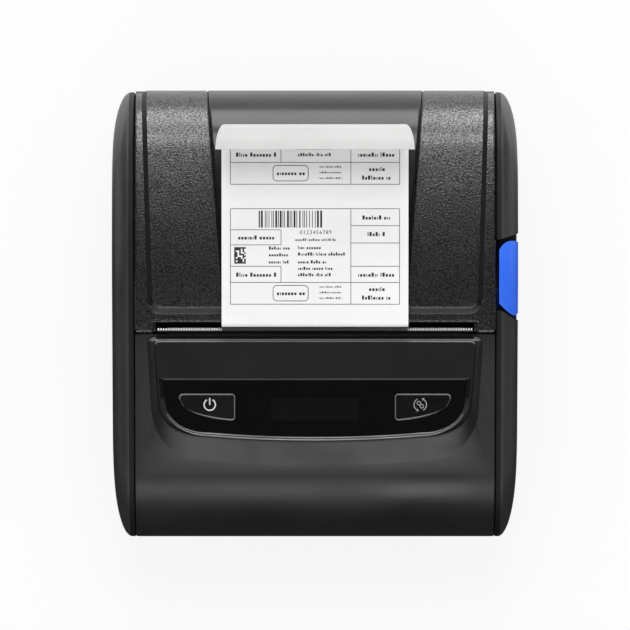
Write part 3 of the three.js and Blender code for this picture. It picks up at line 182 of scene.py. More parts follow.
def curve_mesh(name, curve):
    """A curve's or a text's mesh; the curve itself is removed."""
    source = add_object(name + "_curve", curve)
    bpy.context.view_layer.update()
    mesh = evaluated_mesh(source)
    bpy.data.objects.remove(source)
    bpy.data.curves.remove(curve)
    return mesh


def apply_modifiers(obj, sharp=35.0):
    mesh = evaluated_mesh(obj)
    obj.modifiers.clear()
    old = obj.data
    obj.data = mesh
    bpy.data.meshes.remove(old)
    return settle(obj, sharp)


def loft(name, rings, sharp=35.0, caps=True):
    count = len(rings[0])
    verts = [p for ring in rings for p in ring]
    faces = []
    for r in range(len(rings) - 1):
        for i in range(count):
            j = (i + 1) % count
            faces.append((r * count + i, r * count + j, (r + 1) * count + j, (r + 1) * count + i))
    if caps:
        faces.append(tuple(range(count))[::-1])
        faces.append(tuple((len(rings) - 1) * count + i for i in range(count)))
    return mesh_object(name, verts, faces, sharp)


def prism(name, outline, low, high, axis=2, sharp=35.0):
    """An outline extruded along one axis; its two numbers take the other axes in order."""
    def place(a, b, c):
        return {0: (c, a, b), 1: (a, c, b), 2: (a, b, c)}[axis]
    return loft(name, [[place(a, b, level) for a, b in outline] for level in (low, high)], sharp)


def rectangle(x0, x1, y0, y1):
    return [(x0, y0), (x1, y0), (x1, y1), (x0, y1)]


def box(name, x0, x1, y0, y1, z0, z1):
    return prism(name, rectangle(x0, x1, y0, y1), z0, z1)


def rod_x(name, y, z, radius, x0, x1, sides=48):
    return prism(name, arc(y, z, radius, 0, TAU, sides)[:-1], x0, x1, 0)


def cut(obj, cutter, sharp=35.0, operation="DIFFERENCE"):
    modifier = obj.modifiers.new("cut", "BOOLEAN")
    modifier.operation = operation
    modifier.solver = "MANIFOLD"
    modifier.object = cutter
    apply_modifiers(obj, sharp)
    mesh = cutter.data
    bpy.data.objects.remove(cutter)
    bpy.data.meshes.remove(mesh)
    return obj


def bevel(obj, width, segments=2, angle=40.0, sharp=35.0):
    modifier = obj.modifiers.new("bevel", "BEVEL")
    modifier.width = width * MM
    modifier.segments = segments
    modifier.limit_method = "ANGLE"
    modifier.angle_limit = math.radians(angle)
    modifier.use_clamp_overlap = True
    return apply_modifiers(obj, sharp)


def plate(name, outlines, low, high, edge=0.12, sharp=50.0):
    """A flat plate from closed outlines (the first outside, the rest holes), with rounded rims."""
    curve = bpy.data.curves.new(name, "CURVE")
    curve.dimensions = "2D"
    curve.fill_mode = "BOTH"
    for outline in outlines:
        spline = curve.splines.new("POLY")
        spline.points.add(len(outline) - 1)
        for point, (x, y) in zip(spline.points, outline):
            point.co = (x * MM, y * MM, 0, 1)
        spline.use_cyclic_u = True
    curve.extrude = ((high - low) / 2 - edge) * MM
    curve.bevel_depth = edge * MM
    curve.bevel_resolution = 2
    curve.offset = -edge * MM
    mesh = curve_mesh(name, curve)
    mesh.transform(Matrix.Translation((0, 0, (high + low) / 2 * MM)))
    return settle(add_object(name, mesh), sharp)


def ring_band(name, levels, sharp=50.0):
    """A closed band: each level is an outline and its height, and the last joins the first."""
    rings = [[(x, y, height) for x, y in outline] for outline, height in levels]
    return loft(name, rings + rings[:1], sharp, caps=False)


def on_shoulder(obj):
    """Tips a piece drawn on the flat onto the sloping shoulder."""
    turn = Matrix.Rotation(SLOPE, 4, "X")
    obj.data.transform(Matrix.Translation((0, COVER_REAR * MM, COVER_REAR_Z * MM)) @ turn)
    obj.data.update()
    return obj


def slope_plan(outline):
    return [(x, (y - COVER_REAR) / math.cos(SLOPE)) for x, y in outline]


def dress(obj, material):
    obj.data.materials.clear()
    obj.data.materials.append(material)
    return obj


def fit(obj, body, slot, material, *nodes):
    dress(obj, material)
    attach(obj, body)
    if nodes:
        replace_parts(obj, *nodes)
    return obj


def paint(obj, choose, *materials):
    """Adds materials; choose gives each face's slot from the face and its middle in millimetres."""
    for material in materials:
        obj.data.materials.append(material)
    for face in obj.data.polygons:
        face.material_index = choose(face, *(c / MM for c in face.center))
    return obj


# Materials. A colour is one 8-bit grey, or red, green and blue, as it looks on screen.

WEAR_SCALE = 35.0
SPREAD = 0.08
DRAWN_LINES = (4.0, 600.0, 600.0)


def linear(value):
    v = value / 255
    return v / 12.92 if v <= 0.04045 else ((v + 0.055) / 1.055) ** 2.4


def colour(screen):
    return tuple(linear(v) for v in (screen if isinstance(screen, tuple) else (screen,) * 3))


def new_material(name):
    """A new material, its node tree and its shader."""
    material = bpy.data.materials.new(name)
    material.use_nodes = True
    return material, material.node_tree, material.node_tree.nodes["Principled BSDF"]


def plug(tree, socket, value):
    """Sets an input, or links it where the value is another node's output."""
    if isinstance(value, bpy.types.NodeSocket):
        tree.links.new(value, socket)
    else:
        socket.default_value = value


def put(tree, node, **values):
    """Fills a node's inputs by name, with From_Min for the input From Min."""
    for name, value in values.items():
        plug(tree, node.inputs[name.replace("_", " ")], value)
    return node


def add(tree, kind, **values):
    return put(tree, tree.nodes.new("ShaderNode" + kind), **values)


def compute(tree, operation, *values):
    """A Math node's result, from its inputs in order."""
    node = add(tree, "Math")
    node.operation = operation
    for socket, value in zip(node.inputs, values):
        plug(tree, socket, value)
    return node.outputs["Value"]


def coords(tree, kind="Object"):
    return add(tree, "TexCoord").outputs[kind]


def noise(tree, scale, detail=4.0, rough=0.6, vector=None):
    return add(tree, "TexNoise", Scale=scale, Detail=detail, Roughness=rough,
               Vector=vector or coords(tree)).outputs["Fac"]


def remap(tree, source, low, high, start=0.3, end=0.7):
    return add(tree, "MapRange", From_Min=start, From_Max=end, To_Min=low, To_Max=high,
               Value=source).outputs["Result"]


def ramp(tree, factor, dark, light, start, end):
    """A colour between two linear ones."""
    node = add(tree, "ValToRGB", Fac=factor)
    for element, position, value in zip(node.color_ramp.elements, (start, end), (dark, light)):
        element.position = position
        element.color = (*value, 1)
    return node.outputs["Color"]


def tint(tree, factor, dark, light, start=0.3, end=0.7):
    return ramp(tree, factor, colour(dark), colour(light), start, end)


def bump(tree, shader, height, distance):
    node = add(tree, "Bump", Strength=1.0, Distance=distance * MM, Height=height)
    put(tree, shader, Normal=node.outputs["Normal"])


def plastic(name, dark, light, rough, grain=3200.0, depth=0.012, specular=0.5):
    """Moulded plastic: a fine grain in its relief, and slow changes of tone and gloss."""
    material, tree, shader = new_material(name)
    slow = noise(tree, WEAR_SCALE, 5.0)
    put(tree, shader, Base_Color=tint(tree, slow, dark, light), Specular_IOR_Level=specular,
        Roughness=remap(tree, slow, rough - SPREAD, rough + SPREAD))
    bump(tree, shader, noise(tree, grain, 3.0), depth)
    return material


def metal(name, dark, light, rough, depth=0.004):
    """Metal with fine lines along X from drawing or rolling."""
    material, tree, shader = new_material(name)
    stretched = add(tree, "Mapping", Scale=DRAWN_LINES, Vector=coords(tree)).outputs["Vector"]
    lines = noise(tree, 4.0, 3.0, 0.5, stretched)
    put(tree, shader, Metallic=1.0, Base_Color=tint(tree, noise(tree, 60.0), dark, light),
        Roughness=remap(tree, lines, rough - SPREAD, rough + SPREAD))
    bump(tree, shader, lines, depth)
    return material


def gloss(name, tone, rough=0.06):
    """Glossy black plastic with faint waviness and a few dull specks of handling."""
    material, tree, shader = new_material(name)
    specks = noise(tree, 90.0, 6.0, 0.7)
    put(tree, shader, Base_Color=(*colour(tone), 1), Coat_Weight=0.6, Coat_Roughness=0.03,
        Roughness=remap(tree, specks, rough, rough + 0.12, 0.5, 0.75))
    bump(tree, shader, noise(tree, 120.0, 1.0), 0.0006)
    return material


def grained(name, dark, fleck, rough):
    """The lid's sparkle finish: a coarse leather grain in a dark lacquer full of metal flecks."""
    material, tree, shader = new_material(name)
    cells = add(tree, "TexVoronoi", Scale=2300.0, Vector=coords(tree)).outputs["Distance"]
    fine = noise(tree, 2500.0, 1.5, 0.5)
    put(tree, shader, Metallic=0.85, Base_Color=tint(tree, fine, dark, fleck, 0.36, 0.64),
        Roughness=remap(tree, noise(tree, 30.0), rough - 0.05, rough + 0.05))
    bump(tree, shader, compute(tree, "MULTIPLY_ADD", cells, 0.6, fine), 0.052)
    return material


def paper_white(name, dark, light, rough):
    """Paper with soft cloudiness and fibres."""
    material, tree, shader = new_material(name)
    fibres = noise(tree, 1500.0, 5.0, 0.7)
    put(tree, shader, Base_Color=tint(tree, noise(tree, 45.0, 6.0), dark, light),
        Roughness=remap(tree, fibres, rough - 0.06, rough + 0.06), Specular_IOR_Level=0.3)
    bump(tree, shader, fibres, 0.004)
    return material


def wound(name, dark, light):
    """The roll: paper whose layers show as rings on its ends."""
    material, tree, shader = new_material(name)
    middle = (0, *(-c * MM for c in middle_yz("label_roll")))
    centred = add(tree, "Mapping", Location=middle, Vector=coords(tree)).outputs["Vector"]
    rings = add(tree, "TexWave", Scale=700.0, Distortion=0.6, Detail=2.0, Vector=centred)
    rings.wave_type = "RINGS"
    rings.rings_direction = "X"
    layers = rings.outputs["Fac"]
    put(tree, shader, Base_Color=tint(tree, layers, dark, light), Roughness=0.75)
    bump(tree, shader, layers, 0.02)
    return material


def smoked(name):
    """The window: dark clear plastic, see-through at a low share."""
    material, tree, shader = new_material(name)
    haze = noise(tree, 70.0, 5.0)
    put(tree, shader, Base_Color=tint(tree, haze, 9, 14), Roughness=remap(tree, haze, 0.22, 0.28),
        Transmission_Weight=0.3, IOR=1.49)
    return material


def board_green(name):
    material, tree, shader = new_material(name)
    green, shade, track = [(*colour(c), 1) for c in ((24, 84, 48), (18, 70, 42), (40, 110, 66))]
    lines = add(tree, "TexBrick", Scale=260.0, Color1=green, Color2=shade, Mortar=track,
                Mortar_Size=0.03, Vector=coords(tree))
    put(tree, shader, Base_Color=lines.outputs["Color"], Roughness=0.35)
    bump(tree, shader, lines.outputs["Fac"], 0.02)
    return material


SHELL = plastic("shell_plastic", 22, 27, 0.40, depth=0.008, specular=0.75)
SHELL_SMOOTH = plastic("shell_smooth", 15, 20, 0.46, grain=2600.0, depth=0.010, specular=0.32)
LID_GRAIN = grained("lid_grain", 50, 97, 0.29)
# The bevel round the lid's raised middle: a darker copy on its sides (painted shade) and a lighter copy on
# its front (painted light).
LID_BEVEL_PAINTED_SHADE = plastic("lid_bevel_painted_shade", 15, 20, 0.5, grain=900.0, depth=0.004, specular=0.25)
LID_FRONT_BEVEL_PAINTED_LIGHT = plastic("lid_front_bevel_painted_light", 44, 52, 0.4, grain=900.0, depth=0.004)
# A light grey for the plateau's rear edge and corners: a painted highlight.
COVER_EDGE_PAINTED_HIGHLIGHT = plastic("cover_edge_painted_highlight", 112, 126, 0.3, depth=0.003, specular=1.0)
PANEL = plastic("panel_satin", 36, 43, 0.40, grain=2400.0, depth=0.006, specular=0.8)
# A darker copy of the panel plastic for the flat inner band next to the lid: painted shade.
PANEL_BAND_PAINTED_SHADE = plastic("panel_band_painted_shade", 16, 21, 0.55, depth=0.008, specular=0.3)
LENS = gloss("lens_gloss", 7)
DISPLAY_GLASS = gloss("display_gloss", 14, 0.08)
KEY_FACE = plastic("key_satin", 8, 11, 0.30, grain=2600.0, depth=0.003, specular=0.3)
RIM = plastic("key_rim", 92, 106, 0.32, depth=0.002, specular=0.9)
TRIM = metal("trim_satin", 112, 130, 0.36)
# Darker copies of the trim metal for its middle and its top: painted shade.
TRIM_PAINTED_HALF_SHADE = metal("trim_painted_half_shade", 82, 96, 0.36)
TRIM_PAINTED_SHADE = metal("trim_painted_shade", 44, 56, 0.4)
ICON = plastic("icon_print", 196, 212, 0.5, depth=0.002)
ICON_DIM = plastic("icon_print_dim", 150, 166, 0.5, depth=0.002)
BLUE = plastic("release_blue_plastic", (38, 100, 234), (48, 112, 244), 0.34, grain=2200.0, depth=0.006)
STEEL = metal("bright_steel", 176, 198, 0.28)
BLADE = metal("blade_steel", 62, 80, 0.34)
# A much lighter steel for the upward faces of the tooth tips: a painted highlight.
TOOTH_PAINTED_HIGHLIGHT = metal("tooth_tip_painted_highlight", 140, 160, 0.3)
ALUMINIUM = metal("aluminium", 160, 176, 0.42, depth=0.006)
BRASS = metal("brass", (190, 152, 82), (208, 172, 98), 0.32)
FRAME = plastic("frame_black", 30, 38, 0.55, depth=0.014)
CASE = plastic("battery_case", 34, 42, 0.5, depth=0.012)
RUBBER = plastic("rubber", 24, 30, 0.78, grain=1400.0, depth=0.02, specular=0.3)
GEAR = plastic("gear_white", (214, 210, 196), (226, 222, 208), 0.45, depth=0.006)
BOARD = board_green("board")
CERAMIC = plastic("ceramic", (222, 217, 202), (232, 228, 214), 0.28, depth=0.002)
LINER = paper_white("liner", (242, 242, 241), (247, 247, 246), 0.42)
# A greyer copy of the liner for the outside of the curl: painted shade.
LINER_CURL_PAINTED_SHADE = paper_white("liner_curl_painted_shade", (190, 190, 189), (200, 200, 199), 0.42)
LABEL = paper_white("label_face", (240, 240, 239), (246, 246, 245), 0.6)
PRINT = plastic("print_black", 34, 44, 0.7, depth=0.001, specular=0.2)
ROLL = wound("wound_labels", (196, 194, 188), (228, 227, 224))
CARD = paper_white("core_card", (156, 128, 92), (178, 150, 112), 0.8)
WINDOW = smoked("smoked_window")


# Side outline, as rows that can be sunk by any relief

def lid_rows(front_y, foot_z, ys, arc_steps=22, foot_steps=4):
    """Rows from the front over the crown and the rear curve to the foot, each a function of relief."""
    rows = []
    crown_end = CROWN_Y + CROWN_RADIUS * math.cos(REAR_TURN)
    for y in ys:
        if front_y <= y < crown_end - 0.2:
            rows.append((y, lambda relief, y=y: (y, crown_height(y, relief))))
    for i in range(arc_steps + 1):
        turn = REAR_TURN * (1 - i / arc_steps)
        rows.append((REAR_ARC_Y + REAR_RADIUS * math.cos(turn), lambda relief, t=turn: (
            REAR_ARC_Y + (REAR_RADIUS - relief) * math.cos(t),
            REAR_ARC_Z + (REAR_RADIUS - relief) * math.sin(t))))
    for i in range(1, foot_steps + 1):
        z = REAR_ARC_Z + (foot_z - REAR_ARC_Z) * i / foot_steps
        rows.append((HALF_LENGTH, lambda relief, z=z: (HALF_LENGTH - relief, z)))
    return rows


def outline_yz(front_y, foot_z, relief, steps=40):
    ys = [front_y + (CROWN_Y + 16 - front_y) * i / steps for i in range(steps + 1)]
    return [row(relief) for _, row in lid_rows(front_y, foot_z, ys, 16, 1)]


# Lid cover: a grained shell with a raised middle inside a smooth bevel

LIP_Y = blade_high[1] + 1.4
EAR_FRONT = COVER_REAR + 0.3
EAR_INNER = 43.0
RAISED_FRONT = 0.3
RAISED_CORNER = 3.6
BEVEL_RUN = 1.3
FRONT_BEVEL_RUN = 1.7
EAR_CORNER = 1.4
EDGE_ROUND = 0.6
LID_WALL = 1.9
SKIRT_BOTTOM = 45.3
BARREL_RADIUS = 4.5
BARREL_HALF = 40.2
BACK_Y = HINGE_Y - BARREL_RADIUS
WINDOW_FRONT = 7.2


def raised_half(y):
    along = (max(y, RAISED_FRONT) - 1.9) / (HALF_LENGTH - 1.9)
    return 44.4 + (46.2 - 44.4) * along


def window_half(y):
    along = (max(y, WINDOW_FRONT) - WINDOW_FRONT) / (HALF_LENGTH - WINDOW_FRONT)
    return 24.4 + (28.6 - 24.4) * along


def inside_raised(x, y):
    """How far a point lies inside the raised middle's outline, in plan."""
    dx = raised_half(y) - abs(x)
    dy = (y - RAISED_FRONT) * BEVEL_RUN / FRONT_BEVEL_RUN
    if dx < RAISED_CORNER and dy < RAISED_CORNER:
        return RAISED_CORNER - math.hypot(RAISED_CORNER - dx, RAISED_CORNER - dy)
    return min(dx, dy)


def rounding(edge, radius=EDGE_ROUND):
    """The drop near an edge that is rounded over, at a distance from it."""
    if edge >= radius:
        return 0.0
    edge = max(edge, 0.0)
    return radius - math.sqrt(radius ** 2 - (radius - edge) ** 2)


def lid_relief(x, y):
    rise = min(max(inside_raised(x, y) / BEVEL_RUN, 0.0), 1.0)
    relief = LID_RELIEF * (1 - rise)
    slot = math.hypot(max(abs(x) - EAR_INNER, 0.0), max(y - LIP_Y, 0.0))
    relief += rounding(min(slot, y - EAR_FRONT))
    if y > WINDOW_FRONT:
        relief += max(0.0, 0.4 - abs(abs(x) - window_half(y) - 0.1))
    return relief


def lid_columns(y):
    h = raised_half(y)
    w = window_half(y)
    return sorted([0, 7, 14, 20, w - 1.2, w - 0.3, w + 0.1, w + 0.5, w + 1.5, w + 5, w + 9,
                   h - 4.7, h - 3.6, h - 2.8, h - 2.1, h - 1.6, h - 1.3, h - 1.0, h - 0.65, h - 0.3, h,
                   h + 0.45, (h + SHELL_HALF) / 2, SHELL_HALF - EDGE_ROUND])


def lid_skin():
    ys = [-4.8, -4.7, -4.58, -4.35, -3.9, -3.2, -2.6, -2.1, -2.0, -1.88, -1.7, -1.4, -0.8, -0.2, 0.12,
          0.3, 0.55, 0.85, 1.2, 1.6, 1.95, 2.5, 3.1, 3.9, 5.0, 6.2, 7.3, 9, 11, 13, 16, 19, 22, 25, 28,
          31, 34, 37, 40, 42.5, 45, 47, 49, 51, 53, 55, 57]
    rings = []
    for y, row in lid_rows(EAR_FRONT, HINGE_Z, ys):
        half = lid_columns(y)
        side = [(x, 0.0) for x in half]
        side += [(SHELL_HALF - EDGE_ROUND + EDGE_ROUND * math.sin(turn), EDGE_ROUND * (1 - math.cos(turn)))
                 for turn in quarter_turns(4)[1:]]
        full = flipped(side[1:]) + side
        ring = [(x, *row(lid_relief(x, y) + drop)) for x, drop in full]
        spine_y = min(y, BACK_Y)
        depth = ring[len(ring) // 2][2]
        fall = 0.0
        if y > BACK_Y:
            fall = 1 - (depth - HINGE_Z) / (crown_height(BACK_Y) - HINGE_Z)
        spine_z = SKIRT_BOTTOM + (HINGE_Z - SKIRT_BOTTOM) * fall
        ring += [(SHELL_HALF, spine_y, spine_z), (-SHELL_HALF, spine_y, spine_z)]
        rings.append(ring)
    return loft("lid_cover_fine", rings)


def ear_corner(side):
    """What is cut away outside the rounded front corner of an ear, in plan."""
    x, y = SHELL_HALF - EAR_CORNER, EAR_FRONT + EAR_CORNER
    plan = [(x + a, y + b) for a, b in arc(0, 0, EAR_CORNER, -QUARTER, 0, 8)]
    plan += [(SHELL_HALF + 1, y), (SHELL_HALF + 1, EAR_FRONT - 1), (x, EAR_FRONT - 1)]
    plan = [(side * a, b) for a, b in plan]
    return prism("corner", plan if side > 0 else plan[::-1], 42, BODY_HEIGHT + 2)


def window_outline(grow, rear=HALF_LENGTH + 2):
    corner = 3.2
    front = WINDOW_FRONT - grow
    side = window_half(WINDOW_FRONT) + grow - corner
    half = [(side + corner * math.sin(t), front + corner - corner * math.cos(t))
            for t in quarter_turns(8)]
    half.append((window_half(rear) + grow, rear))
    return half + flipped(half)


def lid_cover():
    obj = lid_skin()
    inner = outline_yz(EAR_FRONT + LID_WALL, HINGE_Z - 2, LID_RELIEF + LID_WALL)
    inner += [(EAR_FRONT + LID_WALL, HINGE_Z - 2)]
    cut(obj, prism("inner", inner, LID_WALL - SHELL_HALF, SHELL_HALF - LID_WALL, 0))
    cut(obj, box("between", -EAR_INNER, EAR_INNER, EAR_FRONT - 2, LIP_Y, HINGE_Z, BODY_HEIGHT + 2))
    lip = rectangle(LIP_Y, LIP_Y + LID_WALL, 51, crown_height(LIP_Y, LID_RELIEF + 0.6))
    cut(obj, prism("lip", lip, -EAR_INNER - LID_WALL, EAR_INNER + LID_WALL, 0), operation="UNION")
    cut(obj, rod_x("barrel", HINGE_Y, HINGE_Z, BARREL_RADIUS, -BARREL_HALF, BARREL_HALF),
        operation="UNION")
    cut(obj, box("cheek", -SHELL_HALF - 2, SHELL_HALF + 2, EAR_FRONT - 2, EAR_FRONT + LID_WALL, 43, 50))
    for side in (-1, 1):
        x0, x1 = sorted((side * BARREL_HALF, side * 50))
        cut(obj, rod_x("cheek", HINGE_Y, HINGE_Z, 5.1, x0, x1))
        cut(obj, ear_corner(side))
    cut(obj, prism("window", window_outline(0.1), 42, BODY_HEIGHT + 2))
    cut(obj, rod_x("pocket", HINGE_Y, HINGE_Z, 3.7, -38, -31))
    cut(obj, rod_x("bore", HINGE_Y, HINGE_Z, 1.75, -50, 50), sharp=28)
    fit(obj, "lid", "shell", LID_GRAIN, "lid_cover")
    return paint(obj, lid_slot, LID_BEVEL_PAINTED_SHADE, LID_FRONT_BEVEL_PAINTED_LIGHT)


def lid_slot(face, x, y, z):
    """Which material a face of the lid wears: grain, side bevel in a darker tone that is painted shade, or
    front bevel in a lighter tone that is painted light.
    """
    outside = z > 43 or y > 58.8
    if outside and face.normal.z > 0.05 and 0.02 < inside_raised(x, y) < BEVEL_RUN - 0.02:
        return 2 if face.normal.y < -0.8 * abs(face.normal.x) and y < 5 else 1
    return 0


WINDOW_RIM = 0.42
WINDOW_SINK = 0.12


def lid_window():
    """The smoked sheet: it follows the crown, with a chamfered rim."""
    ys = [7.35, 7.5, 7.7, 8.0, 8.5, 9.2, 10.2, 11.5, *range(14, 57, 3)]
    rings = []
    corner = 3.1
    for y, row in lid_rows(7.35, 42.3, ys, 18, 1):
        top = row(0)
        if top[1] < 42.3:
            continue
        half = window_half(y) - 0.15
        reach = y - 7.35
        if reach < corner:
            half -= corner - math.sqrt(corner ** 2 - (corner - reach) ** 2)
        rings.append(window_ring(row, half, rounding(reach, 0.3)))
    obj = loft("lid_window_fine", rings)
    return fit(obj, "lid", "window", WINDOW, "lid_window")


def window_ring(row, half, drop):
    xs = [half, half - 0.05, half - WINDOW_RIM, half - WINDOW_RIM - 0.05, half - 0.9, half - 4, half - 10,
          half - 17]
    upper = [(x, WINDOW_SINK + drop + max(0.0, WINDOW_RIM - half + x) * 0.6) for x in xs]
    upper.append((0.0, WINDOW_SINK + drop))
    full = upper + flipped(upper[:-1])
    ring = [(x, *row(relief)) for x, relief in full]
    lower = [-half, -half / 2, 0, half / 2, half]
    return ring + [(x, *row(2.4)) for x in lower]


# Front cover: the sloping shoulder and nose with a raised plateau

COVER_LENGTH = COVER_REAR - NOSE_INSET + HALF_LENGTH
PLATEAU_TOP = {"top": 0.022, "half": 0.8917, "side_x": 0.8708, "side_y": 0.3143,
               "corner_x": 0.6063, "corner_y": 0.489, "bottom": 0.5129}
PLATEAU_FOOT = {"top": 0.0092, "half": 0.9292, "side_x": 0.9104, "side_y": 0.3364,
                "corner_x": 0.625, "corner_y": 0.6213, "bottom": 0.6471}
LENS_PLAN = {"top": 0.2151, "half": 0.8417, "side_x": 0.8313, "side_y": 0.307,
             "corner_x": 0.5958, "corner_y": 0.4724, "bottom": 0.4945}
LENS_TOP = PLATEAU_RISE + 0.1


def plan_from(shares):
    across = ("half", "side_x", "corner_x")
    return {k: SHELL_HALF * v if k in across else COVER_REAR - COVER_LENGTH * v for k, v in shares.items()}


def mixed(a, b, share):
    return {k: a[k] + (b[k] - a[k]) * share for k in a}


def bezier(points, steps):
    """Points along a curve with three or four control points, without its first."""
    found = []
    for i in range(1, steps + 1):
        t = i / steps
        level = points
        while len(level) > 1:
            level = [tuple(p + (q - p) * t for p, q in zip(a, b)) for a, b in zip(level, level[1:])]
        found.append(level[0])
    return found


def u_outline(p, grow=0.0, top_grow=None, corner=0.5, steps=14):
    """A straight top with small corners, leaning sides, large lower corners and a slight belly."""
    top = p["top"] + (grow if top_grow is None else top_grow)
    start = (-p["half"] - grow, top - corner)
    side = (-p["side_x"] - grow, p["side_y"])
    low = (-p["corner_x"], p["corner_y"] - grow)
    reach_x = (p["side_x"] - p["corner_x"]) * 0.6
    reach_y = (p["side_y"] - p["corner_y"]) * 0.6
    half = [(0.0, top), (-p["half"] / 2, top), (-p["half"] - grow + corner, top)]
    half += bezier([half[-1], (-p["half"] - grow, top), start], 4)
    half += bezier([start, side], 3)
    half += bezier([side, (side[0], side[1] - reach_y), (low[0] - reach_x, low[1]), low], steps)
    half += bezier([low, (low[0] / 2, p["bottom"] - grow), (0.0, p["bottom"] - grow)], steps)
    return half + flipped(half[1:-1])


REAR_CHAMFER = 0.4


def plateau():
    """The raised part as rings from its foot, up a soft flank and over a rounded edge."""
    foot, top = plan_from(PLATEAU_FOOT), plan_from(PLATEAU_TOP)
    levels = [(0.0, -1.0)]
    for i in range(11):
        t = i / 10
        levels.append((t * 0.97, (PLATEAU_RISE - 0.35) * t))
    rings = []
    for share, height in levels:
        plan = slope_plan(u_outline(mixed(foot, top, share), corner=0.7 + 1.4 * (1 - share)))
        rings.append([(x, v, height) for x, v in plan])
    for i in range(1, 6):
        turn = QUARTER * i / 5
        plan = slope_plan(u_outline(top, 0.1 - 0.35 * (1 - math.cos(turn)), corner=0.7))
        rings.append([(x, v, PLATEAU_RISE - 0.35 + 0.35 * math.sin(turn)) for x, v in plan])
    edge = slope_plan(u_outline(top, -0.28, -0.1 - REAR_CHAMFER, corner=1.5))
    chamfer = slope_plan(u_outline(top, -0.1, corner=1.3))
    rings[-1] = [(x, v, PLATEAU_RISE - REAR_CHAMFER) for x, v in chamfer]
    rings.append([(x, v, PLATEAU_RISE) for x, v in edge])
    return on_shoulder(loft("plateau", rings, sharp=28))


def cover_outline(inset, rear, foot):
    rise = (rear - COVER_REAR) * math.tan(SLOPE) - inset / math.cos(SLOPE)
    nose = arc(NOSE_Y, NOSE_Z, NOSE_RADIUS - inset, QUARTER + SLOPE, math.pi, 24)
    return [(rear, COVER_REAR_Z + rise)] + nose + [(NOSE_Y - NOSE_RADIUS + inset, foot)]


COVER_ROUND = 0.25


def cover_body():
    """The plain shoulder and nose across, with both ends rounded over."""
    steps = [(-SHELL_HALF + COVER_ROUND * (1 - math.cos(t)), COVER_ROUND * (1 - math.sin(t)))
             for t in quarter_turns(4)]
    rings = []
    for x, inset in steps + flipped(steps):
        line = cover_outline(inset, COVER_REAR, SEAM_TOP) + [(COVER_REAR, SEAM_TOP)]
        rings.append([(x, y, z) for y, z in line])
    return loft("front_cover_fine", rings)


DISPLAY = rectangle(-11.6, 11.6, -27.8, -21.6)
COVER_WALL = 1.9
KEY = {"inner": 21.5, "outer": 35.9, "top": -20.85, "bottom": -27.4}


def key_outline(side, grow=0.0):
    """The key as drawn on the slope: square towards the middle, tapering to a rounded tip."""
    inner, outer = KEY["inner"] - grow, KEY["outer"] + grow
    top, bottom = KEY["top"] + grow, KEY["bottom"] - grow
    c = 0.75 + grow
    points = [(inner + c, top)]
    points += bezier([points[-1], (inner, top), (inner, top - c)], 5)
    points += [(inner, bottom + c)]
    points += bezier([points[-1], (inner, bottom), (inner + c, bottom)], 5)
    points += bezier([points[-1], (28.5, bottom + 0.5), (33.2, bottom + 2.0), (34.9 + grow, top - 3.2)], 12)
    points += bezier([points[-1], (outer - 0.35, top - 1.9), (outer, top - 1.2)], 5)
    points += bezier([points[-1], (outer + 0.1, top), (outer - 1.1, top)], 6)
    found = [(side * x, y) for x, y in points]
    return found if side < 0 else found[::-1]


def slope_prism(name, outline, low, high):
    return on_shoulder(prism(name, slope_plan(outline), low, high))


def front_cover():
    obj = cover_body()
    inner = cover_outline(COVER_WALL, COVER_REAR + 2, SEAM_TOP - 2) + [(COVER_REAR + 2, SEAM_TOP - 2)]
    cut(obj, prism("inner", inner, COVER_WALL - SHELL_HALF, SHELL_HALF - COVER_WALL, 0))
    cut(obj, plateau(), operation="UNION")
    lens = plan_from(LENS_PLAN)
    cut(obj, slope_prism("pocket", u_outline(lens, 0.3), 0.3, 5))
    cut(obj, slope_prism("groove", u_outline(lens, 1.12, 0.45), 0.8, 5))
    for side in (-1, 1):
        cut(obj, slope_prism("key", key_outline(side, 0.3), -5, 2))
    cut(obj, slope_prism("display", DISPLAY, -5, 2))
    low = node_box("usb_socket")[0]
    cut(obj, box("socket", -SHELL_HALF - 2, 4 - SHELL_HALF, low[1] - 0.3, low[1] + 9.5,
                 low[2] - 0.3, low[2] + 3.7), sharp=32)
    fit(obj, "base", "shell", SHELL, "front_cover")
    return paint(obj, cover_slot, SHELL_SMOOTH, COVER_EDGE_PAINTED_HIGHLIGHT)


def cover_slot(face, x, y, z):
    """Which material a face of the cover wears: shell, smooth plateau top, or a light grey on the rear edge
    that is a painted highlight.
    """
    top = plan_from(PLATEAU_TOP)
    rise = z - COVER_REAR_Z - (y - COVER_REAR) * math.tan(SLOPE)
    rear_edge = face.normal.y > 0.35 and face.normal.z > 0.4 and rise > 1.4
    rear_corner = face.normal.y > 0.2 and rise > 0.3 and abs(x) > top["half"] - 0.9
    if y > top["top"] - 1.5 and (rear_edge or rear_corner):
        return 2
    return 1 if y > top["bottom"] and rise > 1.7 else 0


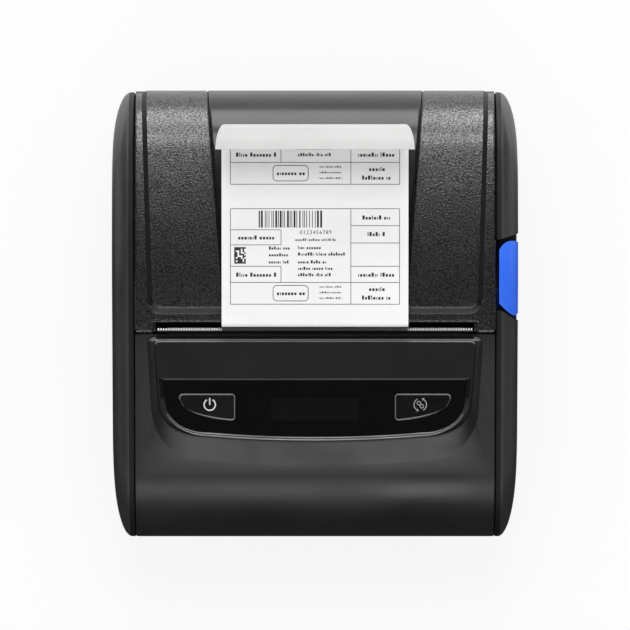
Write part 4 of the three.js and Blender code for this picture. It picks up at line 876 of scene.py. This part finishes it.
def trim_band(name, lens, inner, outer, inner_top, outer_top):
    """A thin raised frame between two outlines, its face sloping outwards; it thins along the top. Its upper
    half wears darker copies of the trim metal in two steps: painted shade.
    """
    crest = ((-0.06, 0.0), (0.06, 0.05), (0.16, 0.9), (0.16, 0.96), (0.06, 1.0))
    levels = [(1.0, 0.0)] + [(PLATEAU_RISE + rise, share) for rise, share in crest] + [(1.0, 1.0)]
    found = []
    for height, share in levels:
        grow = outer + (inner - outer) * share
        top = outer_top + (inner_top - outer_top) * share
        found.append((slope_plan(u_outline(lens, grow, top)), height))
    obj = fit(on_shoulder(ring_band(name, found)), "base", "trim", TRIM)

    # Painted shade: faces halfway up the lens get a darker trim metal, faces near the top a darker one
    # still.
    def slot(_face, _x, y, _z):
        share = (y - lens["bottom"]) / (lens["top"] - lens["bottom"])
        return 2 if share > 0.62 else 1 if share > 0.36 else 0
    return paint(obj, slot, TRIM_PAINTED_HALF_SHADE, TRIM_PAINTED_SHADE)


def lens_and_trim():
    lens = plan_from(LENS_PLAN)
    glass = slope_prism("panel_lens_fine", u_outline(lens), LENS_TOP - 1.6, LENS_TOP)
    for side in (-1, 1):
        cut(glass, slope_prism("key", key_outline(side, 0.3), LENS_TOP - 3, LENS_TOP + 1))
    fit(bevel(glass, 0.1, 2, 60, 12), "base", "lens", LENS, "panel_lens")
    glass = slope_prism("display_glass", DISPLAY, LENS_TOP - 0.1, LENS_TOP + 0.012)
    fit(glass, "base", "lens", DISPLAY_GLASS)
    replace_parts(trim_band("trim_inner", lens, 0.08, 0.48, 0.06, 0.2), "panel_trim")
    trim_band("trim_outer", lens, 0.62, 1.06, 0.26, 0.4)


def ring_arc(cx, cy, radius, width, start, end, steps=28):
    """A flat band along an arc, its ends square."""
    return (arc(cx, cy, radius + width / 2, start, end, steps)
            + arc(cx, cy, radius - width / 2, end, start, steps))


def feed_mark(cx, cy):
    """Two arrows chasing each other round two linked rings."""
    radius = 1.66
    bands = [[ring_arc(cx, cy, radius, 0.24, math.radians(a), math.radians(b))]
             for a, b in ((118, 238), (-62, 58))]
    for turn in (math.radians(238), math.radians(58)):
        x, y = cx + radius * math.cos(turn), cy + radius * math.sin(turn)
        ahead = turn + QUARTER
        tip = (x + 0.55 * math.cos(ahead), y + 0.55 * math.sin(ahead))
        inner = (x - 0.42 * math.cos(turn), y - 0.42 * math.sin(turn))
        outer = (x + 0.42 * math.cos(turn), y + 0.42 * math.sin(turn))
        bands.append([[inner, outer, tip]])
    for dx, dy in ((-0.35, 0.4), (0.4, -0.42)):
        bands.append([arc(cx + dx, cy + dy, 0.58, 0, TAU, 20)[:-1],
                      arc(cx + dx, cy + dy, 0.39, 0, TAU, 20)[:-1]])
    return bands


def power_mark(cx, cy):
    ring = [ring_arc(cx, cy, 1.5, 0.37, math.radians(120), math.radians(420))]
    return [ring, [rectangle(cx - 0.18, cx + 0.18, cy - 0.1, cy + 1.8)]]


def keys():
    for side, name, body in ((-1, "power_key", "power_button"), (1, "feed_key", "feed_button")):
        top = LENS_TOP - 0.05
        cap = slope_prism(name + "_fine", key_outline(side), LENS_TOP - 3.1, top)
        fit(bevel(cap, 0.15, 2, 60, 12), body, "keys", KEY_FACE, name)
        rim = [(LENS_TOP - 1.0, 0.26), (LENS_TOP - 0.04, 0.26), (LENS_TOP + 0.05, 0.16),
               (LENS_TOP + 0.05, 0.04), (LENS_TOP - 0.04, -0.06), (LENS_TOP - 1.0, -0.06)]
        rim = ring_band(name + "_rim", [(slope_plan(key_outline(side, grow)), z) for z, grow in rim])
        fit(on_shoulder(rim), body, "trim", RIM)
        marks = power_mark(-28, -23.5) if side < 0 else feed_mark(28, -23.5)
        for i, outlines in enumerate(marks):
            flat = [slope_plan(outline) for outline in outlines]
            mark = plate(f"{name}_mark_{i}", flat, top - 0.05, top + 0.03, 0.012)
            fit(on_shoulder(mark), body, "keys", ICON if side < 0 else ICON_DIM)


# Tear bar

BLADE_TEETH = 124
TOOTH_CUT, TOOTH_SLOPE, TOOTH_TIP = 0.42, 0.6, 0.36
BLADE_CREST, BLADE_FRONT_DROP = 0.7, 1.1


def tear_bar():
    """The blade: teeth along its rear edge, their tops tipped back, and a steep front slope."""
    half, rear, front = blade_high[0], blade_high[1], blade_low[1]
    foot, top = blade_low[2], blade_high[2]
    pitch, root = 2 * half / BLADE_TEETH, rear - TOOTH_CUT
    places = [(-half, root)]
    for i in range(BLADE_TEETH):
        middle = -half + pitch * (i + 0.5)
        places += [(middle - pitch * TOOTH_TIP / 2, rear), (middle + pitch * TOOTH_TIP / 2, rear),
                   (middle + pitch / 2, root)]

    def height(y):
        return top - (y - rear + BLADE_CREST) * TOOTH_SLOPE
    rings = []
    for x, edge in places:
        rings.append([(x, edge, foot), (x, edge, height(edge)), (x, root - 0.02, height(root - 0.02)),
                      (x, rear - BLADE_CREST, top), (x, front + 0.1, top - BLADE_FRONT_DROP),
                      (x, front, top - BLADE_FRONT_DROP - 0.3), (x, front, foot)])
    obj = fit(loft("tear_bar_fine", rings, 20), "base", "steel", BLADE, "tear_bar")

    # Painted highlight: the upward faces of the tooth tips get the lighter steel.
    def slot(face, x, y, _z):
        tip = abs((x + half) / pitch % 1 - 0.5) < TOOTH_TIP / 4
        return 1 if tip and y > root and face.normal.z > 0.4 else 0
    paint(obj, slot, TOOTH_PAINTED_HIGHLIGHT)


# Side panels: pillow-shaped bumpers with a flat inner band, darker as painted shade

PILLOW_REAR, PILLOW_FRONT, PILLOW_RISE = 16.5, 20.0, 5.0
BAND = 0.9
BAND_REACH = 49.35
PILLOW_MIDDLE = BODY_HEIGHT / 2
PANEL_LIFT = 0.6
PANEL_WALL = 1.8
BLEND_Y = 12.0


def panel_outline():
    r = BOTTOM_RADIUS
    foot = FLOOR + r
    rear = HALF_LENGTH - BAND / 2
    ys = [BLEND_Y + i * 3.6 for i in range(12)]
    top = [row(BAND / 2) for _, row in reversed(lid_rows(BLEND_Y, foot, ys, 18, 8))]
    nose = arc(NOSE_Y, NOSE_Z + PANEL_LIFT, NOSE_RADIUS, QUARTER + SLOPE, math.pi, 18)
    low_front = NOSE_Y - NOSE_RADIUS
    run = between(top[-1], nose[0], 12)
    face = between((low_front, nose[-1][1]), (low_front, foot), 6) + [(low_front, foot)]
    front = arc(low_front + r, FLOOR + r, r, math.pi, 1.5 * math.pi, 10)[1:]
    back = arc(rear - r, FLOOR + r, r, 1.5 * math.pi, TAU, 10)[:-1]
    foot_line = between((front[-1][0], FLOOR), (back[0][0], FLOOR), 14)
    return top + run + nose + face + front + foot_line + back


def pillow_ring(outline, x, turn, wall):
    depth = 1 - math.cos(turn)
    ring = []
    for y, z in outline:
        share_y = (PILLOW_REAR if y > 0 else PILLOW_FRONT) * depth + wall
        share_z = PILLOW_RISE * depth + wall
        ring.append((x, y * (1 - share_y / HALF_LENGTH),
                     PILLOW_MIDDLE + (z - PILLOW_MIDDLE) * (1 - share_z / PILLOW_MIDDLE)))
    return ring


def pillow(name, side, wall=0.0, inner=PANEL_INNER, steps=18, edge=0.2):
    outline = panel_outline()
    band_x = PANEL_INNER + BAND
    reach = HALF_WIDTH - band_x - wall
    rings = []
    if wall:
        rings.append(pillow_ring(outline, side * inner, 0, wall))
    else:
        for turn in quarter_turns(3):
            rings.append(pillow_ring(outline, side * (inner + edge * math.sin(turn)), 0,
                                     edge * (1 - math.sin(turn)) * 0.6))
    for turn in quarter_turns(steps):
        rings.append(pillow_ring(outline, side * (band_x + reach * math.sin(turn)), turn, wall))
    middle = rings[-1][0][0]
    last = rings[-1]
    for share in (0.75, 0.45, 0.15):
        rings.append([(middle, y * share, PILLOW_MIDDLE + (z - PILLOW_MIDDLE) * share) for _, y, z in last])
    return loft(name, rings, sharp=40)


def flared(name, y0, y1, front, rear, grow, low, bite=0.0):
    """The notch's plan: it widens outwards, with softened corners."""
    x0, x1 = PANEL_INNER - 2, HALF_WIDTH + 2
    flare = [(x0, y1 + grow)]
    flare += bezier([(PANEL_INNER, y1 + grow), (49.8, y1 + grow + rear * 0.1),
                     (51.5, y1 + grow + rear * 0.5), (HALF_WIDTH, y1 + grow + rear)], 6)
    flare += [(x1, y1 + grow + rear + bite), (x1, y0 - grow - front)]
    flare += bezier([(HALF_WIDTH, y0 - grow - front), (51.5, y0 - grow - front * 0.45),
                     (49.8, y0 - grow), (PANEL_INNER, y0 - grow)], 6)
    flare += [(x0, y0 - grow)]
    return prism(name, flare, low, BODY_HEIGHT + 2)


# Painted shade: the flat inner band, next to the gap to the lid, wears a darker material.
def paint_inner_band_shade(obj):
    paint(obj, lambda face, x, y, z: 1 if abs(x) < BAND_REACH else 0, PANEL_BAND_PAINTED_SHADE)


def left_panel():
    obj = pillow("left_panel_fine", -1)
    cavity = pillow("cavity", -1, PANEL_WALL, PANEL_INNER - 2)
    low, high = node_box("port_cover")
    y0, y1, z0, z1 = low[1] - 0.3, high[1] + 0.3, low[2] - 0.3, high[2] + 0.3
    cut(cavity, box("keep", -60, -40, y0 - 1.8, y1 + 1.8, z0 - 1.8, z1 + 1.8))
    cut(obj, cavity, 40)
    cut(obj, prism("port", rectangle(y0, y1, z0, z1), -60, 2 - PANEL_INNER, 0), 40)
    fit(obj, "base", "side_panel", PANEL, "left_side_panel")
    paint_inner_band_shade(obj)


NOTCH_Y0, NOTCH_Y1, NOTCH_LOW = 1.4, 19.9, 36.0
BUTTON_PLAN = [(48.9, 3.1), (49.5, 2.5), (50.4, 1.55), (51.3, 0.8), (52.2, 0.15), (52.8, -0.1),
               (53.3, -0.05), (53.7, 0.35), (54.9, 0.6), (54.9, 18.9), (54.2, 19.3), (53.4, 19.6),
               (52.6, 19.7),
               (51.6, 19.6), (50.7, 19.3), (50.0, 18.8), (49.4, 18.1), (48.9, 17.1)]


def right_panel():
    obj = pillow("right_panel_fine", 1)
    cavity = pillow("cavity", 1, PANEL_WALL, PANEL_INNER - 2)
    cut(cavity, flared("keep", NOTCH_Y0, NOTCH_Y1, 3.3, 1.8, 1.2, NOTCH_LOW - 1.2))
    cut(obj, cavity, 40)
    cut(obj, flared("notch", NOTCH_Y0, NOTCH_Y1, 3.3, 1.8, 0.0, NOTCH_LOW), 32)
    fit(obj, "base", "side_panel", PANEL, "right_side_panel")
    paint_inner_band_shade(obj)


def release_button():
    """The blue button: the panel's own form inside its plan, with soft edges, on its tab."""
    cap = pillow("release_button_fine", 1, steps=10)
    low = node_box("release_button")[0]
    cut(cap, prism("plan", BUTTON_PLAN, 38.4, BODY_HEIGHT), 40, "INTERSECT")
    cap = bevel(cap, 0.55, 4, 48, 60)
    fit(cap, "release", "release_blue", BLUE, "release_button")
    tab = box("release_tab", low[0] + 0.02, 50.2, 2.0, 7.0, 39.0, 42.5)
    fit(bevel(tab, 0.15, 2), "release", "release_blue", BLUE)


# Paper: one strip from the roll, round the platen, through the slot and back over the lid

SLOT_Y = -3.05
BEND = 1.1
STRIP_START = 56.8
RUN_SLOPE = math.radians(5.5)
RUN = 45.3
CURL = 7.93
CURL_END = math.radians(171)
LABEL_HALF = 24.75
DRAW_IN, FLARE = 0.8, 1.5
CURL_STEPS = 44


def strip_bend():
    return arc(SLOT_Y + BEND, STRIP_START, BEND, math.pi, QUARTER + RUN_SLOPE, 14)


def run_point(along, lift=0.0):
    """A point on the sloping run, from the end of the bend, and its height over the paper's middle."""
    y, z = strip_bend()[-1]
    return (y + along * math.cos(RUN_SLOPE) - lift * math.sin(RUN_SLOPE),
            z + along * math.sin(RUN_SLOPE) + lift * math.cos(RUN_SLOPE))


def curl_middle():
    y, z = run_point(RUN)
    return y - CURL * math.sin(RUN_SLOPE), z + CURL * math.cos(RUN_SLOPE)


def strip_line():
    run = [run_point(RUN * i / 30) for i in range(1, 30)]
    curl = arc(*curl_middle(), CURL, RUN_SLOPE - QUARTER, CURL_END - QUARTER, CURL_STEPS)
    return strip_bend() + run + curl


def curl_half(turn):
    """Half the strip's width at an angle round the curl: drawn in at its back, flared at its free end."""
    if turn <= QUARTER:
        return LABEL_HALF - DRAW_IN * (1 - math.cos(2 * turn)) / 2
    return LABEL_HALF - DRAW_IN + (DRAW_IN + FLARE) * math.sin(turn - QUARTER)


def ribbon_rings(line, halves, thickness, columns=12):
    """Cross-sections of a strip along a line of Y and Z points, each with its half width."""
    rings = []
    for i, (y, z) in enumerate(line):
        half = halves[i]
        a, b = line[max(i - 1, 0)], line[min(i + 1, len(line) - 1)]
        length = math.hypot(b[0] - a[0], b[1] - a[1])
        ny, nz = -(b[1] - a[1]) / length, (b[0] - a[0]) / length
        ring = []
        for side in (1, -1):
            for k in range(columns + 1):
                x = half * (2 * k / columns - 1) * side
                ring.append((x, y + side * thickness / 2 * ny, z + side * thickness / 2 * nz))
        rings.append(ring)
    return rings


def web_line():
    """From the roll's rear top, tangent to roll and platen, up the gap between platen and head."""
    low, high = node_box("label_roll")
    roll_y, roll_z = middle_yz("label_roll")
    roll_r = (high[2] - low[2]) / 2 + 0.3
    plat_y, plat_z = middle_yz("platen_roller")
    plat_r = plat_y - SLOT_Y
    reach = math.hypot(plat_y - roll_y, plat_z - roll_z)
    turn = math.atan2(plat_z - roll_z, plat_y - roll_y) + math.acos((roll_r - plat_r) / reach)
    line = arc(roll_y, roll_z, roll_r, turn + 0.5, turn, 10)
    wrap = arc(plat_y, plat_z, plat_r, turn, math.pi, 10)
    return line + between(line[-1], wrap[0], 8) + wrap + between((SLOT_Y, plat_z), (SLOT_Y, STRIP_START), 24)


def paper():
    line = web_line() + strip_line()
    turns = [CURL_END * i / CURL_STEPS for i in range(CURL_STEPS + 1)]
    halves = [LABEL_HALF] * (len(line) - len(turns)) + [curl_half(turn) for turn in turns]
    obj = loft("label_paper", ribbon_rings(line, halves, 0.22, 16), sharp=50)
    dress(obj, LINER)
    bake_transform(obj)
    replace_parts(obj, "label_strip", "label_web")
    middle = Vector((0, *curl_middle())) * MM

    # Painted shade: the outward faces round the curl get a greyer copy of the liner.
    def slot(face, _x, _y, _z):
        away = face.center - middle
        away.x = 0
        return 1 if away.length < (CURL + 1) * MM and away.dot(face.normal) > 0 else 0
    paint(obj, slot, LINER_CURL_PAINTED_SHADE)


# Labels on the strip, with a generic printed form

SHEET_LIFT = 0.11
SHEET = 0.07
SHEET_HALF = 23.5
LABEL_LENGTH = 29.7
PITCH = 31.9
FIRST_LABEL = 1.85


def strip_place(x, along, lift):
    """A point on the printed side of the strip, by its distance along it."""
    if along <= RUN:
        return (x, *run_point(along, lift))
    mid_y, mid_z = curl_middle()
    turn = RUN_SLOPE - QUARTER + (along - RUN) / CURL
    return (x, mid_y + (CURL - lift) * math.cos(turn), mid_z + (CURL - lift) * math.sin(turn))


def label_sheet(name, start):
    """One die-cut label: a thin sheet with rounded corners that follows the strip."""
    steps = 48
    corner = 1.3
    rings = []
    for i in range(steps + 1):
        t = (1 - math.cos(math.pi * i / steps)) / 2
        along = LABEL_LENGTH * t
        edge = min(along, LABEL_LENGTH - along)
        half = SHEET_HALF
        if edge < corner:
            half -= corner - math.sqrt(corner ** 2 - (corner - edge) ** 2)
        xs = [half * (2 * k / 8 - 1) for k in range(9)]
        ring = [strip_place(x, start + along, SHEET_LIFT + SHEET) for x in xs]
        ring += [strip_place(x, start + along, SHEET_LIFT) for x in reversed(xs)]
        rings.append(ring)
    obj = loft(name, rings, sharp=50)
    return fit(obj, "lid", "paper", LABEL)


LINE = 0.16
LEFT, RIGHT, COLUMN = -22.4, 22.4, 9.5
DOT_PITCH, DOT = 0.44, 0.43


def line_across(x0, x1, v):
    return (x0, x1, v - LINE / 2, v + LINE / 2)


def line_along(x, v0, v1):
    return (x - LINE / 2, x + LINE / 2, v0, v1)


def frame_of(x0, x1, v0, v1):
    return [line_across(x0, x1, v0), line_across(x0, x1, v1), line_along(x0, v0, v1), line_along(x1, v0, v1)]


def block_marks():
    """Rectangles of the printed form: from x, to x, from and to along the label."""
    marks = frame_of(LEFT, RIGHT, 3.1, 28.5) + frame_of(LEFT, -9.0, 18.9, 22.9)
    marks += frame_of(LEFT, -9.0, 8.9, 13.2)
    marks += [line_along(COLUMN, 3.1, 28.5), line_across(LEFT, RIGHT, 8.9)]
    marks += [line_across(COLUMN, RIGHT, v) for v in (13.2, 19.4, 24.0)]
    dice = random.Random(7)
    x = -14.9
    while x < 2.0:
        wide = dice.choice((0.2, 0.2, 0.34, 0.5))
        marks.append((x, x + wide, 23.5, 28.0))
        x += wide + dice.choice((0.24, 0.36, 0.55))
    for row in range(10):
        for column in range(7):
            if row in (0, 9) or column == 0 or dice.random() < 0.5:
                marks.append((-21.4 + column * DOT_PITCH, DOT - 21.4 + column * DOT_PITCH,
                              13.9 + row * DOT_PITCH, 13.9 + DOT + row * DOT_PITCH))
    return marks


def greeked(dice, x0, x1, v, height=0.6, centred=False):
    """A line of plain blocks of letter size that stands for a line of words."""
    low, x, left = v - height / 2, x0, dice.randint(4, 8)
    blocks = []
    while x < x1 - height * 0.6:
        if left == 0:
            x, left = x + height * 0.45, dice.randint(4, 8)
            continue
        wide = height * dice.choice((0.22, 0.46, 0.5, 0.54))
        tall = height * dice.choice((0.6, 0.6, 0.6, 0.95))
        blocks.append((x, x + wide, low, low + tall))
        x, left = x + wide + height * 0.22, left - 1
    shift = (x1 - blocks[-1][1]) / 2 if centred else 0
    return [(a + shift, b + shift, c, d) for a, b, c, d in blocks]


def word_marks():
    dice = random.Random(11)
    marks = []
    for x0, x1, v in ((12.1, 20.3, 26.2), (13.8, 18.6, 21.8), (11.0, 21.4, 11.0), (14.2, 18.6, 7.2),
                      (12.3, 20.1, 4.9), (-21.0, -10.2, 20.9), (-21.0, -10.2, 11.0), (-10.4, -2.4, 6.1)):
        marks += greeked(dice, x0, x1, v, 1.15, True)
    for v, reach in ((18.2, 1.9), (16.5, 8.2), (14.4, 3.4), (12.7, 5.2), (11.0, 4.6)):
        marks += greeked(dice, -4.5, reach, v, 0.9)
    marks += greeked(dice, -5.2, 5.6, 20.3, 0.7)
    for v in (18.1, 16.3, 14.4):
        marks += greeked(dice, -12.2, -6.6, v, 0.9)
    for v in (7.8, 6.3, 4.8):
        marks += greeked(dice, 1.2, 7.4, v, 0.55)
    return marks


def mark_solid(verts, faces, outline, start):
    """Adds one thin mark, given as an outline across and along the label."""
    base = len(verts)
    top = SHEET_LIFT + SHEET
    for lift in (top - 0.01, top + 0.012):
        verts += [strip_place(x, start + v, lift) for x, v in outline]
    count = len(outline)
    faces.append(tuple(base + i for i in range(count))[::-1])
    faces.append(tuple(base + count + i for i in range(count)))
    for i in range(count):
        j = (i + 1) % count
        faces.append((base + i, base + j, base + count + j, base + count + i))


def split_mark(mark, start):
    """Long marks are cut into short ones, so that they follow the curl."""
    x0, x1, v0, v1 = mark
    parts = 1 if start + v1 <= RUN else max(1, math.ceil((v1 - v0) / 0.9))
    edges = [v0 + (v1 - v0) * i / parts for i in range(parts + 1)]
    return [rectangle(x0, x1, a, b) for a, b in zip(edges, edges[1:])]


def label_print(name, start):
    verts, faces = [], []
    for mark in block_marks() + word_marks():
        for outline in split_mark(mark, start):
            mark_solid(verts, faces, outline, start)
    corner = 1.1
    x0, x1, v0, v1 = -11.2, -1.7, 3.9, 8.2
    outer, inner = [], []
    for cx, cy, turn in ((x1 - corner, v0 + corner, -1), (x1 - corner, v1 - corner, 0),
                         (x0 + corner, v1 - corner, 1), (x0 + corner, v0 + corner, 2)):
        outer += arc(cx, cy, corner, turn * QUARTER, (turn + 1) * QUARTER, 5)
        inner += arc(cx, cy, corner - 0.18, turn * QUARTER, (turn + 1) * QUARTER, 5)
    count = len(outer)
    for i in range(count):
        j = (i + 1) % count
        mark_solid(verts, faces, [outer[i], outer[j], inner[j], inner[i]], start)
    fit(mesh_object(name, verts, faces, 20), "lid", "paper", PRINT)


def digits(name, start, text="0123456789"):
    """Plain digits under the bars, from Blender's own font."""
    curve = bpy.data.curves.new(name, "FONT")
    curve.body = text
    curve.size = 1.5 * MM
    curve.align_x = "CENTER"
    curve.space_character = 1.15
    curve.extrude = 0.006 * MM
    curve.resolution_u = 2
    mesh = curve_mesh(name, curve)
    for vert in mesh.vertices:
        x, v, lift = (c / MM for c in vert.co)
        place = strip_place(x + 0.2, start + 21.75 + v, SHEET_LIFT + SHEET + 0.005 + lift)
        vert.co = [c * MM for c in place]
    fit(settle(add_object(name, mesh), 30), "lid", "paper", PRINT)


def labels():
    for i in range(2):
        start = FIRST_LABEL + PITCH * i
        label_sheet(f"label_{i}", start)
        label_print(f"label_print_{i}", start)
        digits(f"label_digits_{i}", start)


# CAD nodes that keep their own mesh

KEPT = {
    SHELL: "base_housing",
    FRAME: "lid_frame chassis media_guide_left media_guide_right",
    STEEL: "platen_shaft idler_axle head_pivot_rod head_spring_left head_spring_right latch_hook_left "
           "latch_hook_right latch_shaft latch_spring hinge_rod lid_spring motor_body usb_socket "
           "screw_front_left screw_front_right screw_rear_left screw_rear_right",
    ALUMINIUM: "head_heatsink",
    BRASS: "platen_bush_left platen_bush_right motor_pinion battery_contacts",
    GEAR: "platen_gear idler_gear guide_pinion",
    RUBBER: "platen_roller key_mat port_cover foot_front_left foot_front_right foot_rear_left "
            "foot_rear_right",
    CASE: "battery_pack battery_latch",
    BOARD: "main_board display_module media_sensor",
    CERAMIC: "head_ceramic",
    ROLL: "label_roll",
    CARD: "roll_core",
}
SOFT_EDGES = {
    0.1: "main_board",
    0.15: "battery_latch lid_frame chassis head_heatsink media_guide_left media_guide_right",
    0.2: "port_cover",
    0.3: "motor_body",
    0.35: "base_housing",
    0.4: "foot_front_left foot_front_right foot_rear_left foot_rear_right",
    0.5: "battery_pack",
}


def dress_frame():
    for material, names in KEPT.items():
        for name in names.split():
            dress(frame["nodes"][name], material)
    for width, names in SOFT_EDGES.items():
        for name in names.split():
            modifier = frame["nodes"][name].modifiers.new("edge", "BEVEL")
            modifier.width = width * MM
            modifier.segments = 2
            modifier.limit_method = "ANGLE"
            modifier.angle_limit = math.radians(42)
            modifier.harden_normals = False


# Floor, lights and camera

CAMERA_REACH = 2.2
PHOTO_WIDTH, PHOTO_PIXEL = 630, 0.2687
SENSOR = 36
FLOOR_REACH = 6000
WORLD_FILL = 0.54
FRONT_IN_GLOSS = 0.04
REAR_IN_GLOSS = 1.6
SOFTBOXES = {"rear": (68, 0, 1.1, 0.5, 0.7, 5.6), "top": (28, 0, 1.2, 0.7, 0.5, 5.4),
             "front": (-44, 0, 1.2, 1.0, 0.4, 3.5), "left": (10, -78, 1.2, 0.5, 1.0, 1.2),
             "right": (10, 78, 1.2, 0.5, 1.0, 1.2)}


def split_rays(tree, share, plain, shown, output):
    """The plain shader lights the scene. Glossy and transmission rays see the shown one, and camera
    rays see a share of it."""
    path = add(tree, "LightPath").outputs
    level = compute(tree, "MULTIPLY", path["Is Camera Ray"], share)
    for ray in ("Is Glossy Ray", "Is Transmission Ray"):
        level = compute(tree, "MAXIMUM", level, path[ray])
    mix = add(tree, "MixShader", Fac=level)
    tree.links.new(plain, mix.inputs[1])
    tree.links.new(shown, mix.inputs[2])
    put(tree, tree.nodes[output], Surface=mix.outputs["Shader"])


def along_y(tree, kind):
    return add(tree, "SeparateXYZ", Vector=coords(tree, kind)).outputs["Y"]


def floor():
    material, tree, shader = new_material("floor_white")
    put(tree, shader, Base_Color=(*colour(236), 1), Roughness=0.9, Specular_IOR_Level=0.1)
    behind = remap(tree, along_y(tree, "Object"), FRONT_IN_GLOSS, REAR_IN_GLOSS, 0.02, 0.12)
    level = add(tree, "Mix", Factor=add(tree, "LightPath").outputs["Is Camera Ray"], A=behind, B=1.0)
    glow = add(tree, "Emission", Strength=level.outputs["Result"])
    split_rays(tree, 0.86, shader.outputs["BSDF"], glow.outputs["Emission"], "Material Output")
    corners = rectangle(-FLOOR_REACH, FLOOR_REACH, -FLOOR_REACH, FLOOR_REACH)
    dress(mesh_object("floor", [(x, y, 0) for x, y in corners], [(0, 1, 2, 3)]), material)


def world():
    """White for the camera; for gloss, white behind and dark overhead and in front; a fill for the rest."""
    scene_world = bpy.data.worlds.new("studio")
    bpy.context.scene.world = scene_world
    scene_world.use_nodes = True
    tree = scene_world.node_tree
    back = put(tree, tree.nodes["Background"], Color=(0.85, 0.85, 0.85, 1), Strength=WORLD_FILL)
    sky = ramp(tree, along_y(tree, "Generated"), (FRONT_IN_GLOSS,) * 3, (1, 1, 1), 0.1, 0.8)
    white = add(tree, "Mix")
    white.data_type = "RGBA"
    put(tree, white, Factor=add(tree, "LightPath").outputs["Is Camera Ray"], A=sky, B=(1, 1, 1, 1))
    seen = add(tree, "Background", Color=white.outputs["Result"])
    split_rays(tree, 1.0, back.outputs["Background"], seen.outputs["Background"], "World Output")


def softbox(name, tilt, swing, distance, wide, deep, power):
    """An area light, tilted from straight above towards +Y and swung towards +X, in degrees."""
    lamp = bpy.data.lights.new(name, "AREA")
    lamp.shape = "RECTANGLE"
    lamp.size = wide
    lamp.size_y = deep
    lamp.energy = power
    obj = add_object(name, lamp)
    a, b = math.radians(tilt), math.radians(swing)
    aim = Vector((math.sin(b), math.sin(a) * math.cos(b), math.cos(a) * math.cos(b))).normalized()
    obj.location = aim * distance + Vector((0, 0, 0.03))
    obj.rotation_euler = aim.to_track_quat("Z", "Y").to_euler()


def camera():
    """Straight above, with the body filling the photograph's frame as it does there."""
    data = bpy.data.cameras.new("camera")
    obj = add_object("camera", data)
    obj.location = (0, 0, CAMERA_REACH + PILLOW_MIDDLE * MM)
    data.sensor_width = SENSOR
    data.lens = SENSOR * CAMERA_REACH / (PHOTO_WIDTH * PHOTO_PIXEL * MM)
    data.clip_start = 0.05
    data.clip_end = 20
    bpy.context.scene.camera = obj


lid_cover()
lid_window()
front_cover()
lens_and_trim()
keys()
tear_bar()
left_panel()
right_panel()
release_button()
paper()
labels()
dress_frame()
floor()
world()
for side, values in SOFTBOXES.items():
    softbox(side + "_softbox", *values)
camera()

bpy.context.scene.view_settings.view_transform = "Standard"
